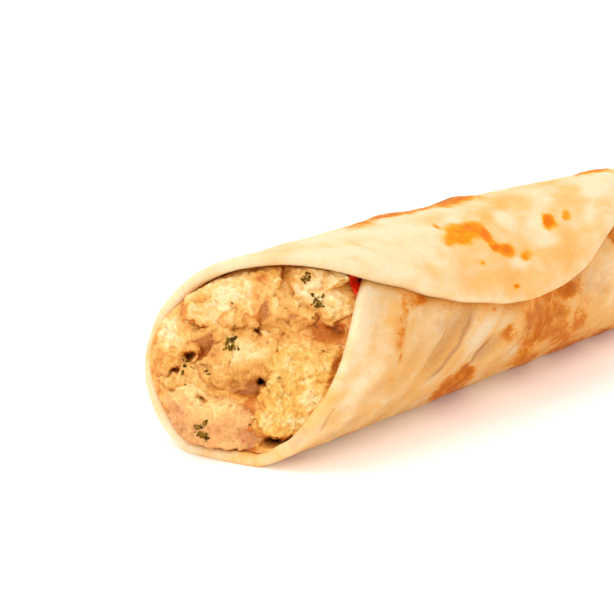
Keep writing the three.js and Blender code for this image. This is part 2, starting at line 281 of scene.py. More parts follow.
class NodeSheet:
    """Adds nodes to a tree and links them, so that a finish reads as a list of steps."""

    def __init__(self, tree: Tree) -> None:
        """Starts on an empty tree.

        Args:
            tree: The node tree of a material, a world or a group.
        """
        self.tree = tree

    def new(
        self, kind: str, feeds: dict[int | str, object] | None = None, **settings: object
    ) -> bpy.types.Node:
        """Adds a node, sets its properties and feeds its inputs.

        Args:
            kind: The node's type, without its Shader prefix.
            feeds: Values or sockets for its inputs, by place or by name.
            settings: The properties to set.

        Returns:
            The new node.
        """
        node = self.tree.nodes.new(f"ShaderNode{kind}")
        for name, value in settings.items():
            setattr(node, name, value)
        for name, source in (feeds or {}).items():
            self.feed(node.inputs[name], source)
        return node

    def feed(self, target: Socket, source: object) -> None:
        """Links a socket to its target, or sets a plain value on the target."""
        if isinstance(source, Socket):
            self.tree.links.new(source, target)
        else:
            target.default_value = source

    def math(self, operation: str, *sources: object) -> Socket:
        """Adds one step of arithmetic on values or sockets, as a Math node names it."""
        return self.new("Math", dict(enumerate(sources)), operation=operation).outputs[0]

    def times(self, first: object, second: object) -> Socket:
        """Multiplies two values."""
        return self.math("MULTIPLY", first, second)

    def plus(self, base: object, part: object, share: object) -> Socket:
        """Adds a share of one value to another."""
        return self.math("MULTIPLY_ADD", part, share, base)

    def centred(self, value: Socket) -> Socket:
        """Moves a value of 0 to 1 so that its middle is 0."""
        return self.math("SUBTRACT", value, 0.5)

    def decay(self, value: Socket, rate: float) -> Socket:
        """Lets a value die away from 1 at 0."""
        return self.math("POWER", EULER, self.times(value, -rate))

    def vector(self, operation: str, first: object, second: object) -> Socket:
        """Adds one step of vector arithmetic, as a Vector Math node names it."""
        return self.new("VectorMath", {0: first, 1: second}, operation=operation).outputs[0]

    def turned(self, vector: Socket, angle: object) -> Socket:
        """Turns coordinates about Z."""
        return self.new("VectorRotate", {"Vector": vector, "Angle": angle}, rotation_type="Z_AXIS").outputs[0]

    def between(self, value: object, low: object, high: object) -> Socket:
        """Eases a value from 0 at low to 1 at high."""
        feeds = {"Value": value, "From Min": low, "From Max": high}
        return self.new("MapRange", feeds, interpolation_type="SMOOTHSTEP").outputs["Result"]

    def mix(self, share: object, first: object, second: object, blend: str = "MIX") -> Socket:
        """Mixes two colours.

        Args:
            share: How much of the second colour shows.
            first: The first colour or socket.
            second: The second colour or socket.
            blend: How they mix.

        Returns:
            The mixed colour's socket.
        """
        feeds = {0: share, 6: first, 7: second}
        return self.new("Mix", feeds, data_type="RGBA", blend_type=blend).outputs[2]

    def ramp(self, value: Socket, *stops: tuple[float, Colour]) -> Socket:
        """Turns a value into a colour, by places from 0 to 1 and the colours there."""
        node = self.new("ValToRGB", {"Fac": value})
        elements = node.color_ramp.elements
        while len(elements) < len(stops):
            elements.new(1.0)
        for element, (place, colour) in zip(elements, stops):
            element.position = place
            element.color = colour
        return node.outputs["Color"]

    def noise(self, vector: Socket, scale: object, detail: float = 2.0, roughness: float = 0.5) -> Socket:
        """Adds cloudy noise.

        Args:
            vector: The coordinates.
            scale: How many lumps there are in one unit.
            detail: How many finer layers it has.
            roughness: How strong they are.

        Returns:
            The noise's value from 0 to 1.
        """
        feeds = {"Vector": vector, "Scale": scale, "Detail": detail, "Roughness": roughness}
        return self.new("TexNoise", feeds).outputs["Fac"]

    def attribute(self, name: str) -> Socket:
        """Reads a number that a mesh keeps for each point."""
        return self.new("Attribute", attribute_name=name).outputs["Fac"]

    def own_place(self) -> Socket:
        """Reads places in the piece's own frame."""
        return self.new("TexCoord").outputs["Object"]

    def bump(self, height: Socket, strength: float, distance: float) -> Socket:
        """Turns a height into a normal."""
        feeds = {"Height": height, "Strength": strength, "Distance": distance}
        return self.new("Bump", feeds).outputs["Normal"]


class Effect(Enum):
    """The shader groups that finishes are built from."""

    GRAIN = "fine_grain"
    SPECKS = "spice_specks"
    PATCHES = "soft_patches"
    CREASE = "sharp_crease"


class EffectShelf:
    """Builds each shared shader group once and places it where a finish wants it."""

    FINE_SHARE = 0.4
    SPECK_WOBBLE = 1.7
    SPECK_LEAST = 0.4
    SPECK_MORE = 0.8
    SPECK_EDGE = 0.4
    CREASE_WANDER = 0.016
    CREASE_FADE = 0.22
    CREASE_DIP = 0.6

    def __init__(self) -> None:
        """Starts with no group built."""
        self.groups: dict[Effect, Tree] = {}

    def place(self, sheet: NodeSheet, effect: Effect, **values: object) -> dict[str, Socket]:
        """Places a group in a material.

        Args:
            sheet: The material's nodes.
            effect: Which group.
            values: Its inputs by name.

        Returns:
            The group's outputs by name.
        """
        if effect not in self.groups:
            makers = {
                Effect.GRAIN: self._grain,
                Effect.SPECKS: self._specks,
                Effect.PATCHES: self._patches,
                Effect.CREASE: self._crease,
            }
            self.groups[effect] = makers[effect]()
        node = sheet.new("Group", values, node_tree=self.groups[effect])
        return {socket.name: socket for socket in node.outputs}

    @staticmethod
    def _start(
        effect: Effect, inputs: dict[str, float | None], *outputs: str
    ) -> tuple[NodeSheet, dict[str, Socket], dict[str, Socket]]:
        """Makes an empty group that takes a vector and more.

        Args:
            effect: The group that is made.
            inputs: What else it takes, with the usual value of a number and none for a vector.
            outputs: The numbers it puts out.

        Returns:
            Its node sheet, its inputs' sockets and its outputs' sockets by name.
        """
        tree = bpy.data.node_groups.new(effect.value, "ShaderNodeTree")
        for name, usual in {"Vector": None, **inputs}.items():
            kind = "NodeSocketVector" if usual is None else "NodeSocketFloat"
            socket = tree.interface.new_socket(name, in_out="INPUT", socket_type=kind)
            if usual is not None:
                socket.default_value = usual
        for name in outputs:
            tree.interface.new_socket(name, in_out="OUTPUT", socket_type="NodeSocketFloat")
        taken = tree.nodes.new("NodeGroupInput").outputs
        given = tree.nodes.new("NodeGroupOutput").inputs
        return NodeSheet(tree), {s.name: s for s in taken}, {s.name: s for s in given}

    def _grain(self) -> Tree:
        """Fine uneven grain: a height with a coarse and a fine layer."""
        sheet, taken, given = self._start(Effect.GRAIN, {"Scale": 800.0, "Fineness": 3.0}, "Height")
        coarse = sheet.noise(taken["Vector"], taken["Scale"], detail=3.0, roughness=0.6)
        finer = sheet.times(taken["Scale"], taken["Fineness"])
        fine = sheet.noise(taken["Vector"], finer, detail=2.0, roughness=0.6)
        sheet.feed(given["Height"], sheet.plus(coarse, fine, self.FINE_SHARE))
        return sheet.tree

    def _specks(self) -> Tree:
        """Scattered small dots: a mask of the dots and a number that tells them apart."""
        usual = {"Scale": 500.0, "Share": 0.2, "Size": 0.3}
        sheet, taken, given = self._start(Effect.SPECKS, usual, "Mask", "Kind")
        vector, scale = taken["Vector"], taken["Scale"]
        wobble = sheet.new("TexNoise", {"Vector": vector, "Scale": sheet.times(scale, self.SPECK_WOBBLE)})
        scaled = sheet.new("VectorMath", {0: vector, "Scale": scale}, operation="SCALE")
        place = sheet.vector("ADD", scaled.outputs[0], wobble.outputs["Color"])
        cells = sheet.new("TexVoronoi", {"Vector": place, "Scale": 1.0})
        choice, size, kind = sheet.new("SeparateColor", {0: cells.outputs["Color"]}).outputs
        chosen = sheet.math("LESS_THAN", choice, taken["Share"])
        reach = sheet.times(taken["Size"], sheet.plus(self.SPECK_LEAST, size, self.SPECK_MORE))
        near = sheet.math("SUBTRACT", 1.0, sheet.math("DIVIDE", cells.outputs["Distance"], reach))
        sheet.feed(given["Mask"], sheet.times(sheet.between(near, 0.0, self.SPECK_EDGE), chosen))
        sheet.feed(given["Kind"], kind)
        return sheet.tree

    def _patches(self) -> Tree:
        """Soft uneven patches: a mask that covers more as its cover rises."""
        usual = {"Scale": 150.0, "Cover": 0.5, "Softness": 0.12}
        sheet, taken, given = self._start(Effect.PATCHES, usual, "Mask")
        cloud = sheet.noise(taken["Vector"], taken["Scale"], detail=4.0, roughness=0.6)
        edge = sheet.math("SUBTRACT", 1.0, taken["Cover"])
        low, high = (sheet.math(step, edge, taken["Softness"]) for step in ("SUBTRACT", "ADD"))
        sheet.feed(given["Mask"], sheet.between(cloud, low, high))
        return sheet.tree

    def _crease(self) -> Tree:
        """A sharp straight crease: a mask of its line, and a height that steps across it."""
        usual = {"Direction": 0.0, "Length": 0.1, "Width": 0.006, "Depth": 1.0, "Middle": None}
        sheet, taken, given = self._start(Effect.CREASE, usual, "Mask", "Height")
        away = sheet.vector("SUBTRACT", taken["Vector"], taken["Middle"])
        level = sheet.turned(away, sheet.times(taken["Direction"], -1.0))
        along, sideways, _ = sheet.new("SeparateXYZ", {0: level}).outputs
        wander = sheet.centred(sheet.noise(taken["Vector"], scale=18.0, detail=3.0, roughness=0.5))
        across = sheet.math("DIVIDE", sheet.plus(sideways, wander, self.CREASE_WANDER), taken["Width"])
        ends = sheet.math("DIVIDE", sheet.math("ABSOLUTE", along), taken["Length"])
        inner = sheet.math("SUBTRACT", 1.0, sheet.between(ends, 0.5, 1.0))
        depth = sheet.times(inner, taken["Depth"])
        line = sheet.decay(sheet.times(across, across), 1.0)
        far = sheet.decay(sheet.math("ABSOLUTE", across), self.CREASE_FADE)
        rise = sheet.plus(sheet.times(sheet.math("TANH", across), far), line, -self.CREASE_DIP)
        sheet.feed(given["Mask"], sheet.times(line, depth))
        sheet.feed(given["Height"], sheet.times(rise, depth))
        return sheet.tree


@dataclass(frozen=True)
class Surface:
    """The plain values that a finish sets on its shader, the same all over."""

    name: str
    roughness: float = 0.6
    specular: float = 0.4
    subsurface: float = 0.0
    subsurface_reach: Triple = (1.0, 0.55, 0.25)
    subsurface_depth: float = 0.002
    coat: float = 0.0

    def start(self) -> tuple[Material, NodeSheet, bpy.types.Node]:
        """Makes a material with its shader.

        Returns:
            The material, its node sheet and its shader node.
        """
        material = bpy.data.materials.new(self.name)
        material.use_nodes = True
        material.node_tree.nodes.clear()
        sheet = NodeSheet(material.node_tree)
        values = {
            "Roughness": self.roughness,
            "Specular IOR Level": self.specular,
            "Subsurface Weight": self.subsurface,
            "Subsurface Radius": self.subsurface_reach,
            "Subsurface Scale": self.subsurface_depth,
            "Coat Weight": self.coat,
        }
        shader = sheet.new("BsdfPrincipled", values)
        sheet.new("OutputMaterial", {"Surface": shader.outputs[0]})
        return material, sheet, shader


@dataclass(frozen=True)
class Crease:
    """A sharp crease pressed into the first turn, as a straight line on the flat bread."""

    along: float
    around: float
    direction: float
    length: float
    width: float
    depth: float

    def inputs(self) -> dict[str, object]:
        """Gives the crease group's inputs, in the flat map's unit."""
        return {
            "Middle": (self.along / MAP_UNIT, self.around / MAP_UNIT, 0.0),
            "Direction": math.radians(self.direction),
            "Length": self.length / MAP_UNIT,
            "Width": self.width / MAP_UNIT,
            "Depth": self.depth,
        }


@dataclass(frozen=True)
class RaggedLayer:
    """A layer of noise that roughens the browning: its look, its share and what searing adds to that."""

    scale: float
    detail: float
    roughness: float
    share: float
    seared_share: float


@dataclass(frozen=True)
class BreadFinish:
    """Pan-fried flatbread: pale dough, golden and browned blisters, creases and a stained inside."""

    pale: Colour = tone(232, 216, 176)
    deep: Colour = tone(229, 188, 117)
    ruddy: Colour = tone(228, 175, 91)
    golden: Colour = tone(234, 182, 80)
    brown: Colour = tone(234, 150, 14)
    dark: Colour = tone(218, 114, 0)
    charred: tuple[Colour, Colour, Colour] = (tone(222, 162, 78), tone(206, 127, 36), tone(184, 100, 22))
    crust_stops: Triple = (0.1, 0.45, 0.9)
    # Painted shade multiplied over the first turn where it is pulled.
    first_turn_painted_shade: Colour = (0.91, 0.885, 0.87, 1.0)
    stain: Colour = tone(236, 168, 62)
    # Painted shade laid along the crease lines.
    shade: Colour = tone(196, 138, 84)
    # Thin see-through dough, partly painted shade beside folds and on the lower first turn.
    sheer: Colour = tone(204, 168, 124)
    # Painted shade at the feet of the pull folds.
    foot: Colour = tone(186, 138, 92)
    # Painted warm shade on the first turn under the flap's edge, in place of light glowing through and
    # bouncing off the bread.
    warm: Colour = (1.0, 0.78, 0.44, 1.0)
    cloud_stretch: Triple = (0.6, 1.0, 1.0)
    mark_stretch: Triple = (0.14, 1.0, 1.0)
    mottle_share: float = 1.3
    cloud_share: float = 1.6
    streak_share: float = 1.6
    blotch_share: float = -0.35
    tan_base: float = 0.12
    tan_scale: float = 0.7
    fleck_share: float = 0.5
    crease_shade_share: float = 0.6
    foot_shade_share: float = 0.5
    toast_rise: float = 0.3
    streak_rise: float = 1.4
    step_rise: float = 1.8
    crust_dullness: float = 0.8
    cell_range: Span = (0.32, 0.62)
    cell_level: float = 0.7
    cell_share: float = 0.25
    cell_seared_share: float = 0.3
    ragged: tuple[RaggedLayer, ...] = (
        RaggedLayer(42.0, 5.0, 0.68, 0.28, 0.2),
        RaggedLayer(150.0, 3.0, 0.6, 0.2, 0.45),
    )
    fold_direction: float = 38.8
    creases: tuple[Crease, ...] = (
        Crease(62.9, 134.9, 37.9, 14.0, 0.6, 1.2),
        Crease(57.5, 136.0, 39.0, 9.0, 0.45, 0.5),
        Crease(77.2, 128.2, 30.2, 8.0, 0.6, 1.0),
        Crease(95.0, 127.0, 36.0, 6.0, 0.5, 0.5),
        Crease(110.0, 128.0, 40.0, 8.0, 0.6, 0.5),
        Crease(49.0, 130.0, 36.0, 6.0, 0.4, 0.4),
        Crease(36.0, 117.0, 34.0, 9.0, 0.5, 0.6),
        Crease(14.0, 126.0, 60.0, 4.0, 0.5, 0.6),
        Crease(7.0, 121.0, 64.0, 4.0, 0.5, 0.6),
    )
    surface: Surface = Surface("toasted_bread", roughness=0.52, specular=0.3, subsurface=0.12)

    def make(self, effects: EffectShelf) -> Material:
        """Builds the material.

        Args:
            effects: The shared shader groups.

        Returns:
            The bread's material, which reads its flat map and its stored numbers.
        """
        material, sheet, shader = self.surface.start()
        flat = sheet.new("UVMap", uv_map=Flatbread.FLAT_MAP).outputs["UV"]
        drawn = sheet.vector("MULTIPLY", flat, self.cloud_stretch)
        mottle = sheet.noise(drawn, scale=24.0, detail=4.0, roughness=0.55)
        streak = self._streaks(sheet, flat)
        dough = self._dough(sheet, drawn, mottle, streak, effects)
        toast = self._toast(sheet, flat)
        crust = sheet.between(toast, 0.05, 0.58)
        colour = sheet.mix(crust, dough, self._browned(sheet, toast))
        flecks = effects.place(sheet, Effect.SPECKS, Vector=flat, Scale=42.0, Share=0.06, Size=0.2)["Mask"]
        line, step = self._creases(sheet, flat, effects)
        for share, over in (
            (sheet.times(flecks, self.fleck_share), self.brown),
            # Sheer patches: thin dough, partly painted shade.
            (sheet.times(sheet.attribute("sheer"), sheet.between(mottle, 0.35, 0.6)), self.sheer),
            # Painted shade along the crease lines and at the feet of the pull folds.
            (sheet.times(line, self.crease_shade_share), self.shade),
            (sheet.times(sheet.attribute("foot"), self.foot_shade_share), self.foot),
        ):
            colour = sheet.mix(share, colour, over)
        # Painted warm shade under the flap's edge.
        colour = sheet.mix(sheet.attribute("covered"), colour, self.warm, "MULTIPLY")
        colour = sheet.mix(sheet.attribute("stain"), colour, self.stain)
        height = effects.place(sheet, Effect.GRAIN, Vector=flat, Scale=45.0, Fineness=4.0)["Height"]
        raised = sheet.between(toast, 0.1, 0.6)
        for part, rise in ((raised, self.toast_rise), (streak, self.streak_rise), (step, self.step_rise)):
            height = sheet.plus(height, part, rise)
        gloss = self.surface.specular
        dulled = sheet.plus(gloss, crust, -self.crust_dullness * gloss)
        sheet.feed(shader.inputs["Base Color"], colour)
        sheet.feed(shader.inputs["Specular IOR Level"], dulled)
        sheet.feed(shader.inputs["Roughness"], sheet.plus(0.4, mottle, 0.25))
        sheet.feed(shader.inputs["Normal"], sheet.bump(height, strength=0.65, distance=0.0006))
        return material

    def _streaks(self, sheet: NodeSheet, flat: Socket) -> Socket:
        """Adds stretch marks along the bread's folds, where the bread is pulled."""
        level = sheet.turned(flat, -math.radians(self.fold_direction))
        drawn = sheet.vector("MULTIPLY", level, self.mark_stretch)
        marks = sheet.noise(drawn, scale=30.0, detail=4.0, roughness=0.6)
        return sheet.times(sheet.centred(marks), sheet.attribute("pulled"))

    def _dough(self, sheet: NodeSheet, drawn: Socket, mottle: Socket, streak: Socket,
               effects: EffectShelf) -> Socket:
        """Colours the dough, from pale to golden, with painted shade over the first turn.

        Args:
            sheet: The material's nodes.
            drawn: The coordinates of its clouds.
            mottle: Its fine clouds.
            streak: Its stretch marks.
            effects: The shared shader groups.

        Returns:
            The dough's colour.
        """
        cloud = sheet.noise(drawn, scale=10.0, detail=3.0, roughness=0.5)
        blotch = effects.place(sheet, Effect.PATCHES, Vector=drawn, Scale=17.0, Cover=0.42)["Mask"]
        tan = sheet.math("ADD", sheet.attribute("tan"), self.tan_base)
        for part, share in (
            (sheet.centred(mottle), self.mottle_share),
            (sheet.centred(cloud), self.cloud_share),
            (streak, self.streak_share),
            (blotch, self.blotch_share),
        ):
            tan = sheet.plus(tan, part, share)
        level = sheet.times(tan, self.tan_scale)
        dough = sheet.ramp(level, (0.0, self.pale), (0.6, self.deep), (1.0, self.ruddy))
        # Painted shade: the first turn is darkened where it is pulled.
        return sheet.mix(sheet.attribute("pulled"), dough, self.first_turn_painted_shade, "MULTIPLY")

    def _toast(self, sheet: NodeSheet, flat: Socket) -> Socket:
        """Breaks the stored browning up into a ragged crust, more so where it is seared."""
        seared = sheet.attribute("seared")
        noise = sheet.noise(flat, scale=34.0, detail=4.0, roughness=0.6)
        cells = sheet.math("SUBTRACT", sheet.between(noise, *self.cell_range), self.cell_level)
        patchy = sheet.plus(1.0, cells, sheet.plus(self.cell_share, seared, self.cell_seared_share))
        toast = sheet.times(sheet.attribute("toast"), patchy)
        for layer in self.ragged:
            noise = sheet.noise(flat, scale=layer.scale, detail=layer.detail, roughness=layer.roughness)
            share = sheet.plus(layer.share, seared, layer.seared_share)
            toast = sheet.plus(toast, sheet.centred(noise), share)
        return toast

    def _browned(self, sheet: NodeSheet, toast: Socket) -> Socket:
        """Colours the crust, from golden to dark, or charred where it is seared."""
        burnt = sheet.between(toast, 0.1, 1.1)
        fried = (self.golden, self.brown, self.dark)
        ramps = [sheet.ramp(burnt, *zip(self.crust_stops, tones)) for tones in (fried, self.charred)]
        return sheet.mix(sheet.attribute("seared"), *ramps)

    def _creases(self, sheet: NodeSheet, flat: Socket, effects: EffectShelf) -> tuple[Socket, Socket]:
        """Adds the sharp creases.

        Args:
            sheet: The material's nodes.
            flat: The flat map's coordinates.
            effects: The shared shader groups.

        Returns:
            A mask of the lines, which carries their painted shade, and the height of their steps.
        """
        line, step = 0.0, 0.0
        for crease in self.creases:
            made = effects.place(sheet, Effect.CREASE, Vector=flat, **crease.inputs())
            line = sheet.math("MAXIMUM", line, made["Mask"])
            step = sheet.math("ADD", step, made["Height"])
        return line, step


class FillingLook(Enum):
    """How a part of the filling looks: torn paneer, pale or rosy sauce, marinade, shade, pepper or herb."""

    CRUMBLY = "crumbly"
    SAUCED = "sauced"
    ROSY = "rosy"
    COATED = "coated"
    DEEP = "deep"
    PEPPER = "pepper"
    HERB = "herb"


@dataclass(frozen=True)
class PaneerFinish:
    """Spiced paneer: its colours from bare curd to thick marinade, with painted shade in its hollows, behind
    its face, on its undersides and in its holes, and how grainy it is.
    """

    look: FillingLook
    curd: Colour
    pale: Colour
    coat: Colour
    # Darkest marinade colour, which painted shade also reaches.
    char_and_shade: Colour
    blush: Colour
    grain: float = 0.6
    subsurface: float = 0.1
    bare: float = -0.25
    cloud_share: float = 1.1
    fine_share: float = 0.4
    blush_share: float = 0.5
    crumb_share: float = 0.3
    spice_share: float = 0.65
    # Painted shadow in the deep holes.
    hole_shadow: Colour = tone(58, 26, 14)
    crumbs: tuple[Colour, Colour] = (tone(206, 190, 160), (1.1, 1.1, 1.1, 1.0))
    spices: tuple[Colour, Colour, Colour] = (tone(96, 62, 26), tone(126, 98, 38), tone(186, 78, 34))
    spice_stops: Triple = (0.0, 0.5, 0.8)
    # How far stored numbers push the colour towards marinade and char: tint is marinade, partly painted shade
    # and light; cavity is sauce in hollows, partly painted shade; sunk and under are painted shade.
    coat_shares: tuple[tuple[str, float], ...] = (
        ("tint", 0.55), ("cavity", 0.5), ("sunk", 0.35), ("under", 0.14)
    )

    def make(self, effects: EffectShelf) -> Material:
        """Builds the material.

        Args:
            effects: The shared shader groups.

        Returns:
            The material, which reads the piece's place and its stored numbers.
        """
        surface = Surface(f"paneer_{self.look.value}", subsurface=self.subsurface)
        material, sheet, shader = surface.start()
        place = sheet.own_place()
        cloud = sheet.noise(place, scale=150.0, detail=4.0, roughness=0.6)
        fine = sheet.noise(place, scale=620.0, detail=4.0, roughness=0.65)
        level = sheet.plus(sheet.plus(self.bare, cloud, self.cloud_share), fine, self.fine_share)
        # The stored numbers carry painted shade as well as marinade.
        for name, share in self.coat_shares:
            level = sheet.plus(level, sheet.attribute(name), share)
        colour = sheet.ramp(level, (0.2, self.pale), (0.46, self.curd), (0.7, self.coat), (1.0, self.char_and_shade))
        rosy = effects.place(sheet, Effect.PATCHES, Vector=place, Scale=170.0, Cover=0.42, Softness=0.1)
        colour = sheet.mix(sheet.times(rosy["Mask"], self.blush_share), colour, self.blush, "MULTIPLY")
        crumb = sheet.between(sheet.noise(place, scale=1300.0, detail=2.0, roughness=0.6), 0.36, 0.64)
        colour = sheet.mix(self.crumb_share, colour, sheet.mix(crumb, *self.crumbs), "MULTIPLY")
        specks = effects.place(sheet, Effect.SPECKS, Vector=place, Scale=620.0, Share=0.12, Size=0.3)
        spice = sheet.ramp(specks["Kind"], *zip(self.spice_stops, self.spices))
        colour = sheet.mix(sheet.times(specks["Mask"], self.spice_share), colour, spice)
        # Painted shadow: the deepest places turn near black.
        colour = sheet.mix(sheet.attribute("hole"), colour, self.hole_shadow)
        grain = effects.place(sheet, Effect.GRAIN, Vector=place, Scale=900.0, Fineness=2.6)["Height"]
        sheet.feed(shader.inputs["Base Color"], colour)
        sheet.feed(shader.inputs["Normal"], sheet.bump(grain, self.grain, distance=0.0007))
        sheet.feed(shader.inputs["Roughness"], sheet.plus(0.64, sheet.between(level, 0.4, 0.8), -0.22))
        return material


PANEER_FINISHES = (
    PaneerFinish(
        FillingLook.CRUMBLY,
        curd=tone(238, 196, 104),
        pale=tone(248, 226, 164),
        coat=tone(230, 172, 72),
        char_and_shade=tone(196, 116, 34),
        blush=tone(255, 246, 214),
        grain=0.9,
    ),
    PaneerFinish(
        FillingLook.SAUCED,
        curd=tone(238, 199, 120),
        pale=tone(248, 226, 172),
        coat=tone(232, 175, 82),
        char_and_shade=tone(204, 122, 36),
        blush=tone(255, 236, 236),
    ),
    PaneerFinish(
        FillingLook.ROSY,
        curd=tone(240, 197, 122),
        pale=tone(250, 226, 158),
        coat=tone(230, 176, 108),
        char_and_shade=tone(210, 148, 88),
        blush=tone(255, 240, 232),
    ),
    PaneerFinish(
        FillingLook.COATED,
        curd=tone(234, 188, 104),
        pale=tone(244, 212, 150),
        coat=tone(224, 166, 78),
        char_and_shade=tone(184, 114, 44),
        blush=tone(250, 236, 226),
    ),
    PaneerFinish(
        FillingLook.DEEP,
        curd=tone(206, 138, 22),
        pale=tone(220, 166, 50),
        coat=tone(194, 120, 10),
        char_and_shade=tone(154, 88, 4),
        blush=tone(250, 240, 196),
    ),
)


@dataclass(frozen=True)
class MottledFinish:
    """A grainy surface whose two colours lie in soft patches."""

    surface: Surface
    first: Colour
    second: Colour
    patches: float
    grain: float
    fineness: float
    strength: float
    depth: float

    def make(self, effects: EffectShelf) -> Material:
        """Builds the material from the shared groups.

        Args:
            effects: The shared shader groups.

        Returns:
            The material, which reads the piece's place.
        """
        material, sheet, shader = self.surface.start()
        place = sheet.own_place()
        mask = effects.place(sheet, Effect.PATCHES, Vector=place, Scale=self.patches)["Mask"]
        grain = effects.place(sheet, Effect.GRAIN, Vector=place, Scale=self.grain, Fineness=self.fineness)
        sheet.feed(shader.inputs["Base Color"], sheet.mix(mask, self.first, self.second))
        sheet.feed(shader.inputs["Normal"], sheet.bump(grain["Height"], self.strength, self.depth))
        return material


HERB_FINISH = MottledFinish(
    Surface("chopped_herb", roughness=0.6, specular=0.1),
    tone(146, 112, 24),
    tone(66, 46, 4),
    patches=700.0,
    grain=1800.0,
    fineness=2.0,
    strength=0.4,
    depth=0.0003,
)
PEPPER_FINISH = MottledFinish(
    Surface("pepper_skin", roughness=0.38, specular=0.35, coat=0.12),
    tone(255, 66, 20),
    tone(238, 46, 12),
    patches=260.0,
    grain=500.0,
    fineness=3.0,
    strength=0.2,
    depth=0.0003,
)
CORE_FINISH = MottledFinish(
    Surface("filling_core", roughness=0.7),
    tone(206, 132, 44),
    tone(230, 172, 84),
    patches=180.0,
    grain=700.0,
    fineness=3.0,
    strength=0.6,
    depth=0.0008,
)


@dataclass(frozen=True)
class RollShape:
    """The rule by which the flat bread is rolled up, and the room that it leaves inside."""

    thickness: float = 2.6
    half_rolled: float = 87.7
    half_mouth: float = 96.0
    tail_growth: float = 21.5
    tail_shoulder: Span = (0.36, 0.62)
    radius_mouth: float = 22.2
    radius_middle: float = 21.95
    radius_tail: float = 18.7
    radius_span: float = 200.0
    widening: float = 1.11
    axis_sink: float = 0.94
    flap_angle: float = 77.4
    layer_lift: float = 3.2
    lift_angles: Span = (-213.0, -20.0)
    flare_height: float = 2.2
    flare_turn: Triple = (0.05, 0.45, 0.95)
    flare_from: float = 0.8
    layer_margin: float = 1.2
    notch_angle: float = 28.0
    origin: Triple = (-106.51, 0.14, 0.0)

    def wrap_radius(self, x: Array) -> Array:
        """Gives the radius of the innermost turn's middle at a place along the roll."""
        s = x / self.radius_span
        mouth = self.radius_mouth * (1 - s) * (1 - 2 * s)
        tail = self.radius_tail * s * (2 * s - 1)
        return mouth + self.radius_middle * 4 * s * (1 - s) + tail

    def axis_height(self, x: Array) -> Array:
        """Gives the height of the roll's axis above the surface it lies on."""
        return self.axis_sink * (self.wrap_radius(x) + self.thickness / 2)

    def lift(self, angle: Array) -> Array:
        """Gives how far a turn has been lifted by the turn below it."""
        return self.layer_lift * smoothstep(angle, *self.lift_angles)

    def flare(self, across: Array, along: Array) -> Array:
        """Gives how far the flap's edge stands off the turn below along a stretch of its outline."""
        turn = np.arctan2(along, across)
        start, peak, end = self.flare_turn
        stretch = smoothstep(turn, start, peak) * fade(turn, peak, end)
        return self.flare_height * stretch * smoothstep(np.hypot(across, along), self.flare_from, 1.0)

    def along_roll(self, across: Array, along: Array) -> Array:
        """Gives the place along the roll of a point of the unit disc."""
        reach = np.hypot(across, along)
        growth = smoothstep(along / np.maximum(reach, TINY), *self.tail_shoulder) * reach * reach
        return self.half_mouth + along * (self.half_mouth + self.tail_growth * growth)

    def round_roll(self, across: Array, x: Array) -> Array:
        """Gives the angle round the roll of a point of the unit disc."""
        return self.flap_angle - np.degrees(self.half_rolled * (1 - across) / self.wrap_radius(x))

    def rolled(self, x: Array, angle: Array, proud: Array, depth: Array) -> Array:
        """Places points of the bread.

        Args:
            x: Places along the roll.
            angle: Angles round the roll, whole turns included.
            proud: How far the bread's middle stands off its plain spiral.
            depth: How far the points lie outwards from the bread's middle.

        Returns:
            The places in the part's frame, one row of three for each.
        """
        radius = self.wrap_radius(x) + self.lift(angle) + proud + depth
        y = -self.widening * radius * np.sin(np.radians(angle))
        z = self.axis_height(x) + radius * np.cos(np.radians(angle))
        z = np.maximum(z, self.thickness / 2 - depth)
        return np.stack([x, y, z], axis=1) + np.array(self.origin)

    def under_layer(self, angle: Array, x: Array) -> Array:
        """Tells whether the first turn, under the flap, reaches a place of the roll."""
        rolled = np.radians(self.flap_angle + 360 - angle) * self.wrap_radius(x)
        across = 1 - rolled / self.half_rolled
        half = np.sqrt(np.clip(1 - across * across, 0.0, None))
        mouth_edge = self.half_mouth * (1 - half) - self.layer_margin
        tail_edge = self.half_mouth + (self.half_mouth + self.tail_growth) * half + self.layer_margin
        return (across >= -1) & (x > mouth_edge) & (x < tail_edge)

    def inside(self, points: Array, clearance: float) -> Array:
        """Tells which points lie in the room that the rolled bread leaves.

        Args:
            points: Places in the roll's own frame.
            clearance: The room kept free along the bread.

        Returns:
            True for each point inside.
        """
        x = points[:, 0]
        y = points[:, 1] / self.widening
        z = points[:, 2] - self.axis_height(x)
        angle = np.degrees(np.arctan2(-y, z))
        flap_only = (angle < self.notch_angle) & ~self.under_layer(angle - self.layer_margin, x)
        lift = self.lift(np.where(flap_only, angle, angle - 360))
        room = self.wrap_radius(x) + lift - self.thickness / 2 - clearance
        return (np.hypot(y, z) < room) & (points[:, 2] > self.thickness + clearance / 2)

    def own_points(self, piece: Piece) -> Array:
        """Reads a piece's points in the roll's own frame."""
        return points_of(piece) / MM - np.array(self.origin)

    def move_points(self, piece: Piece, points: Array) -> None:
        """Moves a piece's points to places in the roll's own frame."""
        place_points(piece, points + np.array(self.origin))


